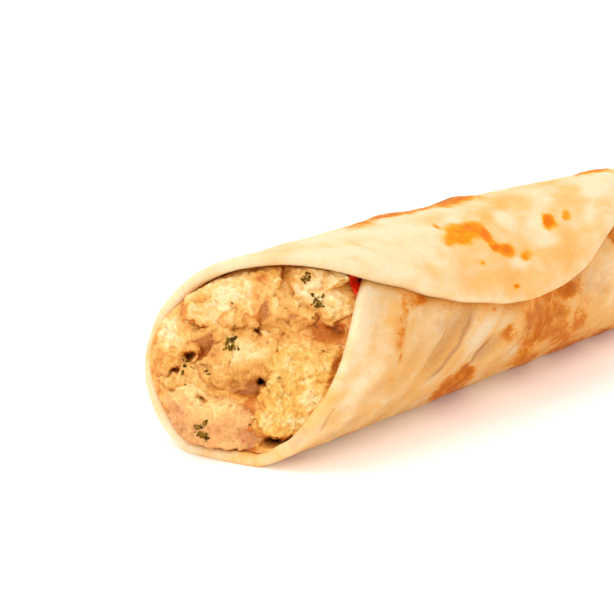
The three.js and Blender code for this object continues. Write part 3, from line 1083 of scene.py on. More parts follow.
@dataclass(frozen=True)
class View:
    """A point of view in the roll's own frame, by default the photograph's."""

    azimuth: float = -50.5
    elevation: float = 15.4
    distance: float = 683.5
    target: Triple = (44.77, 8.5, 31.55)
    focal_pixels: float = 2600.0

    @property
    def back(self) -> Vector:
        """The direction from the target to the eye."""
        azimuth, elevation = math.radians(self.azimuth), math.radians(self.elevation)
        level = math.cos(elevation)
        return Vector((math.sin(azimuth) * level, -math.cos(azimuth) * level, math.sin(elevation)))

    @property
    def axes(self) -> Array:
        """The view's directions to the right, up and back, one row for each."""
        azimuth = math.radians(self.azimuth)
        right = Vector((math.cos(azimuth), math.sin(azimuth), 0.0))
        return np.array([right, self.back.cross(right), self.back])

    def seen(self, points: Array) -> Array:
        """Measures how far right and up of the target the view sees points.

        Args:
            points: Places in the roll's own frame.

        Returns:
            Right and up in millimetres at the target's distance, one row for each point.
        """
        right, up, back = self.axes
        from_target = points - np.array(self.target)
        away = 1 - from_target @ back / self.distance
        return np.stack([from_target @ right, from_target @ up], axis=1) / away[:, None]


@dataclass(frozen=True)
class Spot:
    """A browned spot or a blister of the bread."""

    along: float
    angle: float
    length: float
    width: float
    strength: float = 1.0
    turn: float = 0.0

    def distance(self, shape: RollShape, x: Array, angle: Array) -> Array:
        """Measures places from the spot's middle, in units of its own size.

        Args:
            shape: The roll's rule.
            x: Places along the roll.
            angle: Angles round the roll.

        Returns:
            1 on the spot's outline, less inside.
        """
        sideways = np.radians(angle - self.angle) * shape.wrap_radius(x)
        along, across = turned(x - self.along, sideways, self.turn)
        return np.hypot(along / self.length, across / self.width)


class Turn(Enum):
    """The turns of the rolled bread that the camera sees, by their angles round the roll."""

    FLAP = (-60.0, 90.0)
    FIRST = (-330.0, -185.0)


@dataclass(frozen=True)
class SeenSpot:
    """A spot of the bread or the filling, placed right and up of a view's target as the view sees it."""

    WINDOW = (0.35, 1.0)
    FOOT_AT = 0.55
    FOOT_SHARPNESS = 2.0

    right: float
    up: float
    wide: float
    tall: float
    strength: float = 1.0
    lean: float = 0.0

    def local(self, seen: Array) -> tuple[Array, Array]:
        """Measures places along and across the spot's lean, in units of its own size.

        Args:
            seen: Places right and up in the view, one row for each.

        Returns:
            How far along and how far across the spot's lean each place lies.
        """
        along, across = turned(seen[:, 0] - self.right, seen[:, 1] - self.up, self.lean)
        return along / self.wide, across / self.tall

    def distance(self, seen: Array) -> Array:
        """Measures places from the spot's middle: 1 on its outline, less inside."""
        return np.hypot(*self.local(seen))

    def step(self, seen: Array) -> tuple[Array, Array]:
        """Gives a fold that drops from one side of the spot's length to the other.

        Args:
            seen: Places right and up in the view, one row for each.

        Returns:
            The fold's height and how much painted shade lies along its foot.
        """
        along, across = self.local(seen)
        window = fade(np.abs(along), *self.WINDOW)
        height = -self.strength * across * np.exp(0.5 - across * across / 2)
        foot = np.exp(-self.FOOT_SHARPNESS * (across - self.FOOT_AT) ** 2)
        return window * height, window * foot


def seen_spots(*rows: tuple[float, ...]) -> tuple[SeenSpot, ...]:
    """Lists spots by their places right and up, widths, heights, strengths and leans."""
    return tuple(SeenSpot(*row) for row in rows)


POINTED = (0.0, 1.0)
SOFT = (0.2, 1.2)


def summed(spots: Sequence[SeenSpot], seen: Array, edge: Span) -> Array:
    """Adds up soft spots.

    Args:
        spots: The spots.
        seen: Places right and up in their view.
        edge: How far out, in a spot's own size, its full strength ends and it ends.

    Returns:
        The sum of their strengths at each place.
    """
    total = np.zeros(len(seen))
    for spot in spots:
        total += spot.strength * fade(spot.distance(seen), *edge)
    return total


FLAP_SPOTS = seen_spots(
    (40.8, 17.2, 5.6, 3.4, 0.68, 4), (37.4, 15.6, 2.8, 2.2, 0.62), (43.2, 19.0, 3.6, 1.7, 0.85, -14),
    (47.0, 17.2, 1.5, 3.4, 0.95, 34), (49.4, 13.8, 1.8, 1.5, 0.9, -20),
    (52.4, 13.2, 2.9, 2.1, 0.85, -28), (57.6, 11.8, 2.1, 1.9, 0.66), (63.4, 20.9, 1.9, 2.2, 1.0),
    (63.6, 21.2, 3.2, 3.3, 0.4), (67.9, 22.2, 1.5, 1.9, 0.66), (47.2, 21.6, 1.8, 2.2, 0.26),
    (50.8, 24.8, 2.6, 1.5, 0.26, -30), (33.8, 19.4, 1.5, 0.5, 0.8, -35),
    (46.2, 9.8, 1.3, 0.9, 0.6, -40), (55.1, 3.6, 1.3, 0.8, 0.95, 50), (13.6, 14.4, 5.2, 0.6, 0.3, -14),
    (10.6, 15.9, 3.4, 0.5, 0.26, -10), (38.6, 12.0, 0.9, 1.6, 0.16), (59.6, 26.8, 3.2, 1.4, 0.22, 6),
    (76.4, 20.4, 2.2, 2.6, 0.2),
)
FIRST_TURN_SPOTS = seen_spots(
    (26.4, -1.4, 2.2, 3.4, 0.5), (29.4, -0.2, 1.8, 1.6, 0.6), (24.6, -9.0, 1.6, 6.6, 0.5, -10),
    (24.4, -15.2, 0.8, 1.8, 0.62, -8), (22.4, -21.2, 1.0, 1.4, 0.28), (39.4, -21.6, 7.0, 2.3, 0.95, 36),
    (42.0, -19.2, 3.4, 2.3, 0.85, 30), (35.0, -24.6, 4.4, 1.5, 0.75, 34),
    (53.4, -9.2, 3.3, 2.2, 0.5, 10), (53.0, -8.0, 0.8, 1.7, 0.7, -28), (61.6, -6.0, 4.8, 6.6, 0.8, -18),
    (58.4, -11.6, 4.2, 3.0, 0.62, 20), (66.4, -9.0, 4.6, 4.4, 0.7, -10), (68.6, 2.6, 4.8, 3.0, 0.8, 18),
    (63.4, 1.2, 4.0, 3.0, 0.7), (71.6, -5.0, 2.6, 3.0, 0.6), (66.2, -2.0, 3.2, 3.2, 0.8),
    (73.0, 0.4, 2.6, 2.4, 0.34), (49.0, -2.4, 0.8, 0.7, 0.6), (53.2, -2.2, 1.2, 1.0, 0.36),
    (78.6, 2.8, 1.0, 1.3, 0.4), (80.6, 17.2, 2.0, 3.2, 0.8, 10), (72.6, -9.0, 6.0, 1.6, 0.4, 24),
    (30.6, -27.4, 3.0, 1.2, 0.3, 36), (57.0, -15.6, 6.0, 1.6, 0.7, 26),
    (68.0, -12.4, 6.0, 1.8, 0.8, 22), (78.0, -9.0, 5.0, 1.8, 0.8, 20),
    (49.0, -18.6, 4.0, 1.3, 0.35, 30),
)
# Grey-brown sheer patches of thin dough, partly painted shade beside folds and on the lower first turn.
SHEER_PATCHES = seen_spots(
    (36.4, -4.6, 6.5, 3.6, 0.8, 40), (8.7, -34.5, 10.0, 2.2, 0.7, 33),
    (31.0, -14.0, 7.0, 2.6, 0.35, 52), (46.0, -14.0, 4.0, 1.6, 0.4, 42), (75.4, 4.4, 5.5, 6.0, 0.6, 20),
)
PULL_FOLDS = seen_spots(
    (37.2, -11.4, 13.0, 1.2, 0.8, 57), (48.8, -12.6, 8.0, 1.1, 0.7, 40),
    (30.6, -13.0, 9.0, 1.3, 0.35, 60), (43.4, -4.6, 6.0, 1.2, 0.4, 60), (60.6, -5.2, 8.0, 1.3, 0.5, 66),
    (66.8, -6.4, 7.0, 1.4, 0.45, 58), (17.6, -25.4, 9.0, 1.4, 0.45, 42),
    (24.6, -22.6, 7.0, 1.3, 0.4, 46), (9.4, -30.6, 6.0, 1.2, 0.4, 40),
)
LIP_FOLDS = seen_spots(
    (-10.0, -41.6, 5.0, 1.8, 0.7, 14), (5.4, -36.4, 3.0, 1.4, 0.5, 30),
    (13.0, -33.0, 3.0, 1.4, 0.5, 28), (21.6, -29.6, 3.0, 1.4, 0.4, 28),
    (44.0, -20.8, 3.0, 1.4, 0.4, 28), (-8.0, -39.6, 6.0, 1.1, -0.6, 34),
    (-4.0, -38.6, 5.0, 1.2, 0.5, 30), (1.0, -36.4, 5.0, 1.0, -0.5, 30),
    (12.0, -32.0, 7.0, 1.1, -0.4, 32), (-18.0, -42.0, 4.0, 1.0, -0.4, 12),
)
PALE_AND_GOLDEN = seen_spots(
    (23.0, 15.6, 17.0, 9.0, -0.5, -6), (66.0, 10.0, 18.0, 9.0, 0.6, 30),
    (48.0, 6.0, 16.0, 6.5, 0.5, -6), (55.0, 26.0, 14.0, 5.0, 0.25, 8), (60.4, 19.2, 3.2, 5.0, -0.7),
    (63.5, 16.0, 3.0, 2.6, -0.7), (56.3, 10.1, 3.2, 2.2, -1.0), (51.9, 21.7, 4.0, 2.2, -0.7, -20),
    (38.8, 21.4, 3.4, 1.4, -0.6, 25), (75.4, 29.5, 3.4, 2.6, -0.9), (74.4, 22.6, 2.0, 3.0, -0.6),
    (58.1, 30.5, 5.0, 1.5, -0.6, 14), (35.0, 8.4, 7.0, 4.0, 0.4), (71.8, 15.5, 5.0, 4.0, 0.8),
    (61.3, 26.3, 4.0, 3.0, -0.7), (47.3, 21.7, 1.8, 2.0, 0.7), (51.0, 25.1, 2.6, 1.6, 0.7, -30),
    (67.0, 27.6, 3.0, 2.0, 0.2), (15.4, -5.0, 2.8, 10.0, -0.9, -10), (-8.0, -40.0, 14.0, 4.0, -0.15),
    (-20.0, -41.5, 7.0, 1.6, 0.6, 10), (-12.0, -42.3, 5.0, 1.8, -0.4), (-1.8, -36.8, 3.0, 2.0, -0.3),
    (34.0, -4.0, 4.0, 5.0, 0.25, -20), (66.0, -6.0, 18.0, 10.0, 0.6, 14),
    (28.0, -18.0, 10.0, 5.0, 0.5, 40), (45.0, -9.5, 8.0, 2.6, -0.8, 57),
    (55.0, -12.4, 5.0, 1.6, -0.9, 26), (12.0, -25.0, 8.0, 3.6, -0.7, 56),
    (5.0, -33.0, 10.0, 3.4, -0.3, 36), (20.0, -15.0, 9.0, 3.0, -0.4, 64),
    (33.0, -20.0, 6.0, 2.0, -0.4, 46),
)


TOP_SPOTS = (
    Spot(66, -14, 12, 3.6, 0.6, -14),
    Spot(78, -14, 9, 4.2, 0.75, 8),
    Spot(89, -12, 7, 3.2, 0.65, 6),
    Spot(108, -14, 15, 5.2, 0.8, -8),
    Spot(146, -4, 9, 1.6, 0.3),
    Spot(177, -9, 12, 5.0, 0.85, -10),
    Spot(160, -266, 7.0, 4.0, 0.5, 25),
    Spot(174, -290, 5.0, 4.0, 0.55),
)


@dataclass(frozen=True)
class HiddenSpots:
    """How the browned spots of the far side and the underside are drawn."""

    count: int = 46
    along: Span = (8, 205)
    angle: Span = (-196, -48)
    size: Span = (1.5, 6.5)
    stretch: Span = (1, 1.8)
    strength: Span = (0.3, 0.85)
    turn: Span = (0, 180)

    def drawn(self) -> list[Spot]:
        """Draws the spots, placed round the roll."""
        draw = np.random.default_rng(SEED)
        spans = (self.along, self.angle, self.size, self.stretch, self.strength, self.turn)
        spots = []
        for _ in range(self.count):
            along, angle, size, stretch, strength, turn = (draw.uniform(*span) for span in spans)
            spots.append(Spot(along, angle, size * stretch, size, strength, turn))
        return spots


@dataclass
class Flatbread:
    """The rolled flatbread: one closed slab with folds, blisters and browning."""

    FLAT_MAP = "flat_bread"
    NODE = "flatbread"

    shape: RollShape
    view: View
    hidden: HiddenSpots = HiddenSpots()
    cells_across: int = 196
    cells_along: int = 224
    rim_rows: int = 6
    rim_inset: float = 1.0
    rim_wobble: float = 0.5
    rim_waves: float = 5.0
    wobble_reach: Span = (0.7, 1.0)
    puffed_rim: float = 0.22
    puffed_reach: Span = (0.9, 0.97)
    wave_height: float = 0.35
    wave_length: float = 34.0
    wave_turns: float = 1.3
    fold_slope: float = 1.1
    fold_width: float = 4.5
    fold_depth: float = 0.7
    fold_places: tuple[float, ...] = (66.0, 84.0, 102.0, 126.0, 152.0)
    fold_arc: tuple[float, float, float, float] = (8.0, 24.0, 42.0, 56.0)
    first_turn_to: float = -196.0
    flap_calm: float = 0.3
    turn_ease: float = 12.0
    blisters: tuple[Spot, ...] = (
        Spot(79, -22, 10, 10, 0.8),
        Spot(110, -16, 10, 10, 1.0),
        Spot(174, -2, 9, 9, 0.8),
        Spot(86, 34, 10, 10, 0.6),
        Spot(120, 35, 7, 7, 0.5),
    )
    mark_height: float = 0.3
    mark_length: float = 36.0
    mark_width: float = 7.0
    mark_angles: Span = (-226.0, -206.0)
    marks_from: Span = (24.0, 40.0)
    marks_calm: float = 0.6
    marks_calm_from: Span = (110.0, 150.0)
    dimple_height: float = 0.14
    dimple_size: float = 7.0
    crust_height: float = 0.25
    crust_size: float = 2.5
    spot_wander: float = 0.28
    spot_wander_size: float = 4.0
    seen_spot_edge: Span = (0.3, 1.5)
    hidden_spot_edge: Span = (0.35, 1.3)
    seared_angles: Span = (-18.0, 2.0)
    tan_level: float = 0.5
    tan_cloud: float = 0.22
    tan_size: float = 16.0
    tan_most: float = 1.4
    # Painted shade: the dough is drawn deeper near the underside.
    underside_painted_shade: float = 0.5
    underside_shade_angles: tuple[Span, Span] = ((-300.0, -230.0), (-205.0, -140.0))
    golden_edge: Span = (0.1, 1.4)
    rim_pale: float = 0.45
    rim_reach: Span = (0.86, 0.98)
    low_lip_keeps: float = 0.8
    low_lip_angles: Span = (-215.0, -150.0)
    low_lip_heights: Span = (-16.0, -4.0)
    covered_angles: Span = (-200.0, -170.0)
    covered_width: float = 3.2
    edge_points: int = 361
    stain_level: float = 0.85
    stain_cloud: float = 0.35
    stain_clouds: float = 14.0
    stain_side: Span = (-1.0, -0.2)
    stain_reach: Span = (0.965, 0.995)

    def build(self) -> Piece:
        """Models the slab flat, rolls it up and stores what its finish reads.

        Returns:
            The bread.
        """
        piece = self._flat_slab()
        slab = points_of(piece)
        depth = (slab[:, 2] + 0.5) * self.shape.thickness
        side = 2 * depth / self.shape.thickness
        inset = self.rim_inset * (1 - np.sqrt(np.clip(1 - side * side, 0.0, None))) / self.shape.half_rolled
        across, along = (measure * (1 - inset) for measure in disc(slab))
        wobble = self._wobble(across, along)
        across, along = across * wobble, along * wobble
        reach = np.hypot(across, along)
        x = self.shape.along_roll(across, along)
        angle = self.shape.round_roll(across, x)
        depth = depth * (1 + self.puffed_rim * smoothstep(reach, *self.puffed_reach))
        proud = self.relief(x, angle) + self.shape.flare(across, along)
        plain = self.shape.rolled(x, angle, proud, depth)
        seen = self.view.seen(plain - np.array(self.shape.origin))
        flat = on_plane(x, self.shape.half_rolled * (1 - across))
        toast = self.toast(x, angle, seen)
        on_first = self._on(Turn.FIRST, angle)
        folds, shaded = self.pull_folds(seen)
        crust = self.crust_height * toast * layered_noise(flat / self.crust_size, 2)
        lip = summed(LIP_FOLDS, seen, POINTED)
        fine = self.wrinkles(flat, angle) + crust + on_first * (lip + folds)
        place_points(piece, self.shape.rolled(x, angle, proud + fine, depth))
        # The stored numbers include painted shade: at the feet of the pull folds, partly in the sheer
        # patches, and warm under the flap's edge.
        store(
            piece,
            toast=toast,
            tan=self.tan(flat, angle, seen, reach),
            pulled=self.pulled(x, angle),
            seared=fade(angle, *self.seared_angles),
            sheer=on_first * summed(SHEER_PATCHES, seen, SOFT),
            foot=on_first * np.clip(shaded, 0.0, 1.0),
            covered=self.covered(x, angle),
            stain=self.stain(side, across, along),
        )
        self._map_flat(piece, flat)
        return piece

    def dress(self, piece: Piece, effects: EffectShelf) -> None:
        """Gives the bread its finish and hands it to the frame.

        Args:
            piece: The built bread.
            effects: The shared shader groups.
        """
        piece.data.materials.append(BreadFinish().make(effects))
        settle(piece, "toasted_bread", self.NODE)

    def _flat_slab(self) -> Piece:
        """Extrudes a fine grid into a closed slab with several rows round its rim."""
        select_only()
        cells = {"x_subdivisions": self.cells_across, "y_subdivisions": self.cells_along}
        bpy.ops.mesh.primitive_grid_add(size=2, **cells)
        piece = just_added("rolled_flatbread")
        bpy.ops.object.mode_set(mode="EDIT")
        bpy.ops.mesh.select_all(action="SELECT")
        for _ in range(self.rim_rows):
            down = {"value": (0.0, 0.0, -1.0 / self.rim_rows)}
            bpy.ops.mesh.extrude_region_move(TRANSFORM_OT_translate=down)
        bpy.ops.mesh.select_all(action="SELECT")
        bpy.ops.mesh.normals_make_consistent(inside=False)
        bpy.ops.object.mode_set(mode="OBJECT")
        return piece

    def _wobble(self, across: Array, along: Array) -> Array:
        """Gives how much the hand-rolled outline is drawn in or out, by its direction."""
        reach = np.maximum(np.hypot(across, along), TINY)
        wave = layered_noise(on_plane(across / reach, along / reach) * self.rim_waves, 3)
        return 1 + self.rim_wobble / self.shape.half_rolled * wave * smoothstep(reach, *self.wobble_reach)

    def relief(self, x: Array, angle: Array) -> Array:
        """Gives the slow waves, pull folds and blisters that both turns share.

        Args:
            x: Places along the roll.
            angle: Angles round the roll.

        Returns:
            How far the bread stands off its plain spiral.
        """
        turn = angle - 360 * np.floor(angle / 360 + 0.5)
        swing = np.radians(turn)
        arc = swing * self.shape.wrap_radius(x)
        wave = [x / self.wave_length, self.wave_turns * np.sin(swing), self.wave_turns * np.cos(swing)]
        relief = self.wave_height * soft_noise(np.stack(wave, axis=1))
        start, full, thin, end = self.fold_arc
        window = smoothstep(arc, start, full) * fade(arc, thin, end)
        window = window * np.where(angle > self.first_turn_to, self.flap_calm, 1.0)
        for place in self.fold_places:
            d = (x + self.fold_slope * arc - place) / math.hypot(1, self.fold_slope) / self.fold_width
            relief += window * self.fold_depth * d * np.exp(1 - d * d)
        for blister in self.blisters:
            relief += blister.strength * fade(blister.distance(self.shape, x, turn), *POINTED)
        return relief

    def pulled(self, x: Array, angle: Array) -> Array:
        """Gives where the first turn is pulled into fine stretch marks, 1 where most."""
        calm = 1 - self.marks_calm * smoothstep(x, *self.marks_calm_from)
        return fade(angle, *self.mark_angles) * smoothstep(x, *self.marks_from) * calm

    def wrinkles(self, flat: Array, angle: Array) -> Array:
        """Gives the fine relief: stretch marks of the first turn and soft dimples all over."""
        along, around = flat[:, 0], flat[:, 1]
        lengthwise = (self.fold_slope * along + around) / self.mark_length
        sideways = (along - self.fold_slope * around) / self.mark_width
        marks = self.mark_height * layered_noise(on_plane(sideways, lengthwise), 3)
        dimples = self.dimple_height * layered_noise(flat / self.dimple_size, 3)
        return marks * self.pulled(along, angle) + dimples

    @staticmethod
    def pull_folds(seen: Array) -> tuple[Array, Array]:
        """Adds up the heights of the slanting pull folds and the painted shade along their feet."""
        steps = [fold.step(seen) for fold in PULL_FOLDS]
        shades = [fold.strength * foot for fold, (_, foot) in zip(PULL_FOLDS, steps)]
        return sum(height for height, _ in steps), sum(shades)

    def _on(self, turn: Turn, angle: Array) -> Array:
        """Gives 1 on one of the turns that the camera sees, 0 elsewhere."""
        low, high = turn.value
        return smoothstep(angle, low, low + self.turn_ease) * fade(angle, high - self.turn_ease, high)

    def toast(self, x: Array, angle: Array, seen: Array) -> Array:
        """Gives how browned the bread is, 0 where it is pale.

        Args:
            x: Places along the roll.
            angle: Angles round the roll.
            seen: Places right and up in the camera's view.

        Returns:
            0 to 1 for each place.
        """
        arc = np.radians(angle) * self.shape.wrap_radius(x)
        warp = 1 + self.spot_wander * layered_noise(on_plane(x, arc) / self.spot_wander_size, 3)
        toasted = np.zeros_like(x)
        for turn, spots in ((Turn.FLAP, FLAP_SPOTS), (Turn.FIRST, FIRST_TURN_SPOTS)):
            on_turn = self._on(turn, angle)
            for spot in spots:
                shade = spot.strength * fade(spot.distance(seen) * warp, *self.seen_spot_edge)
                toasted = np.maximum(toasted, on_turn * shade)
        for spot in (*TOP_SPOTS, *self.hidden.drawn()):
            shade = spot.strength * fade(spot.distance(self.shape, x, angle) * warp, *self.hidden_spot_edge)
            toasted = np.maximum(toasted, shade)
        return toasted

    def tan(self, flat: Array, angle: Array, seen: Array, reach: Array) -> Array:
        """Gives how golden the dough is drawn, paler along the rim and deeper near the underside, where the
        depth is painted shade.

        Args:
            flat: Places on the flat bread.
            angle: Angles round the roll.
            seen: Places right and up in the camera's view.
            reach: Places from the flat bread's middle, 1 at its rim.

        Returns:
            0 where it is pale, 1 or a little more where it is golden.
        """
        start, end = self.underside_shade_angles
        golden = self.tan_level + self.tan_cloud * layered_noise(flat / self.tan_size, 3)
        # Painted shade near the underside.
        golden += self.underside_painted_shade * smoothstep(angle, *start) * fade(angle, *end)
        in_view = self._on(Turn.FLAP, angle) + self._on(Turn.FIRST, angle)
        golden += in_view * summed(PALE_AND_GOLDEN, seen, self.golden_edge)
        low_lip = fade(angle, *self.low_lip_angles) * fade(seen[:, 1], *self.low_lip_heights)
        rim = smoothstep(reach, *self.rim_reach) * (1 - self.low_lip_keeps * low_lip)
        return np.clip(np.clip(golden, 0.0, self.tan_most) - self.rim_pale * rim, 0.0, None)

    def covered(self, x: Array, angle: Array) -> Array:
        """Gives how near the first turn is to the flap's edge above it, 1 at the edge and under it, where a
        warm shade is painted.
        """
        turn = np.linspace(-math.pi / 2, math.pi / 2, self.edge_points)
        edge_x = self.shape.along_roll(np.cos(turn), np.sin(turn))
        edge = np.interp(x, edge_x, self.shape.round_roll(np.cos(turn), edge_x))
        past_edge = np.radians(angle + 360 - edge) * self.shape.wrap_radius(x)
        return fade(angle, *self.covered_angles) * fade(past_edge, 0.0, self.covered_width)

    def stain(self, side: Array, across: Array, along: Array) -> Array:
        """Gives how far the filling has coloured the bread's inner face."""
        cloud = layered_noise(on_plane(across, along) * self.stain_clouds, 3)
        inner = fade(side, *self.stain_side) * fade(np.hypot(across, along), *self.stain_reach)
        return np.clip(inner * (self.stain_level + self.stain_cloud * cloud), 0.0, 1.0)

    def _map_flat(self, piece: Piece, flat: Array) -> None:
        """Keeps the bread's flat measure as a map."""
        corners = np.empty(len(piece.data.loops), np.int32)
        piece.data.loops.foreach_get("vertex_index", corners)
        layer = piece.data.uv_layers.new(name=self.FLAT_MAP)
        layer.uv.foreach_set("vector", (flat[corners, :2] / MAP_UNIT).astype(np.float32).ravel())


@dataclass(frozen=True)
class EndFace:
    """The uneven face of the filling at one end: its place along X by height over the section."""

    tilt: float
    span: float
    at: float
    slope: float
    bow: float
    span_most: float = 1.2

    def behind(self, shape: RollShape, points: Array) -> Array:
        """Measures how far points lie behind the face, into the roll.

        Args:
            shape: The roll's rule.
            points: Places in the roll's own frame.

        Returns:
            Millimetres, negative in front of the face.
        """
        tilt = math.radians(self.tilt)
        height = (points[:, 2] - shape.axis_height(self.at)) * math.cos(tilt) - points[:, 1] * math.sin(tilt)
        u = np.clip(height / self.span, -self.span_most, self.span_most)
        return (points[:, 0] - self.at - self.slope * u - self.bow * u * u) * np.sign(self.slope)


@dataclass(frozen=True)
class Facet:
    """A flat broken face of a chunk, through a place as the end's view sees it and turned from the view."""

    right: float
    up: float
    depth: float
    turn_right: float
    turn_up: float


@dataclass(frozen=True)
class Chunk:
    """A chunk of the filling: its middle, size across, up and deep, turn, look, room and broken faces."""

    node: str
    at: Triple
    size: Triple
    turn: Triple
    look: FillingLook = FillingLook.COATED
    proud: float = 0.0
    clearance: float = 0.7
    facets: tuple[Facet, ...] = ()

    @property
    def half(self) -> Array:
        """Half its size."""
        return np.array(self.size) / 2

    @property
    def weight(self) -> float:
        """How strongly it pushes its neighbours back."""
        return float(self.half[0] + self.half[1]) / 2

    @property
    def slot(self) -> str:
        """The record's material slot."""
        return "pepper" if self.look is FillingLook.PEPPER else "paneer"


@dataclass(frozen=True)
class Herb:
    """A cluster of chopped herb on a chunk, placed as the end's view sees it."""

    node: str
    right: float
    up: float
    spread: float
    flakes: int


@dataclass(frozen=True)
class Torn:
    """How coarse a torn surface is: the heights and sizes of its lumps, shards, curds, pits and grains."""

    WARP_DRAW = 9
    SHARD_DRAW = 20
    GRAIN_DRAW = 5

    lumps: float
    shards: float
    curds: float
    pits: float
    grains: float
    lump_size: float = 8.0
    shard_size: float = 3.0
    curd_size: float = 1.35
    grain_size: float = 0.9
    warp_size: float = 1.6
    warp_shift: float = 31.0
    shard_warp: float = 0.7
    curd_warp: float = 0.35
    shard_lean: float = 1.5
    shard_step: float = 0.9
    curd_crown: float = 0.4
    curd_fall: float = 0.6
    curd_lean: float = 0.9
    pit_share: Span = (0.8, 0.82)
    pit_reach: Span = (0.1, 0.6)

    def relief(self, points: Array, seed: int) -> tuple[Array, Array]:
        """Gives the torn relief of a surface.

        Args:
            points: Places in the roll's own frame.
            seed: The draw's seed.

        Returns:
            The heights, and the own value from 0 to 1 of the shard that each place is on.
        """
        lumps = self.lumps * layered_noise(points / self.lump_size, 2, seed)
        shifts = [self.warp_shift * axis for axis in range(3)]
        places = points / self.warp_size
        warp = np.stack([soft_noise(places + shift, seed + self.WARP_DRAW) for shift in shifts], axis=1)
        warped = (points + self.shard_warp * warp) / self.shard_size
        _, slant, shard = nearest_grain(warped, seed + self.SHARD_DRAW)
        shards = self.shards * (self.shard_lean * slant + self.shard_step * (shard - 0.5))
        distance, fine_slant, own = nearest_grain((points + self.curd_warp * warp) / self.curd_size, seed)
        curds = self.curds * (self.curd_crown - self.curd_fall * distance + self.curd_lean * fine_slant)
        pits = -self.pits * smoothstep(own, *self.pit_share) * fade(distance, *self.pit_reach)
        grains = self.grains * layered_noise(points / self.grain_size, 2, seed + self.GRAIN_DRAW)
        return lumps + shards + curds + pits + grains, shard


TORN = {
    FillingLook.CRUMBLY: Torn(lumps=0.3, shards=0.36, curds=0.4, pits=0.5, grains=0.26),
    FillingLook.SAUCED: Torn(lumps=0.35, shards=0.46, curds=0.2, pits=0.25, grains=0.16),
    FillingLook.ROSY: Torn(lumps=0.35, shards=0.4, curds=0.2, pits=0.25, grains=0.16),
    FillingLook.COATED: Torn(lumps=0.35, shards=0.42, curds=0.18, pits=0.25, grains=0.16),
    FillingLook.DEEP: Torn(lumps=0.3, shards=0.25, curds=0.2, pits=0.3, grains=0.18),
    FillingLook.PEPPER: Torn(lumps=0.2, shards=0.0, curds=0.0, pits=0.0, grains=0.0),
}
RAGGED_OUTLINES = ((0.7, 1.4), (0.4, 0.8))
# Spans of the colour deepened in hollows of the relief, partly painted shade, and of the painted shade on
# faces turning down, behind the face and in deep holes.
CAVITY_SHARE = 0.7
CAVITY_SPAN = (-0.5, 0.6)
UNDERSIDE = (-0.3, 0.45)
SUNK = (0.8, 4.5)
HOLE = (5.2, 8.0)


def drawn_by(marks: Sequence[SeenSpot], points: Array, seen: Array) -> Array:
    """Gives how far marks draw places out of the filling, with ragged outlines.

    Args:
        marks: The marks, negative where they draw places in.
        points: Places in the roll's own frame.
        seen: The same places in the marks' view.

    Returns:
        Millimetres towards the view.
    """
    astray = sum(width * soft_noise(points / size) for width, size in RAGGED_OUTLINES)
    return summed(marks, seen + astray[:, None], POINTED)


def store_looks(piece: Piece, torn: Array, tint: Array, sunk: Array) -> None:
    """Stores what the filling's finishes read.

    Args:
        piece: The piece.
        torn: The height of its torn relief.
        tint: How much marinade lies on it, partly painted shade and light.
        sunk: How far it lies behind the face of the filling.
    """
    # cavity is sauce in hollows and partly painted shade; under, sunk and hole are painted shade.
    store(
        piece,
        cavity=np.clip(-CAVITY_SHARE * torn, *CAVITY_SPAN),
        tint=tint,
        under=fade(normals_of(piece)[:, 2], *UNDERSIDE),
        sunk=smoothstep(sunk, *SUNK),
        hole=smoothstep(sunk, *HOLE),
    )


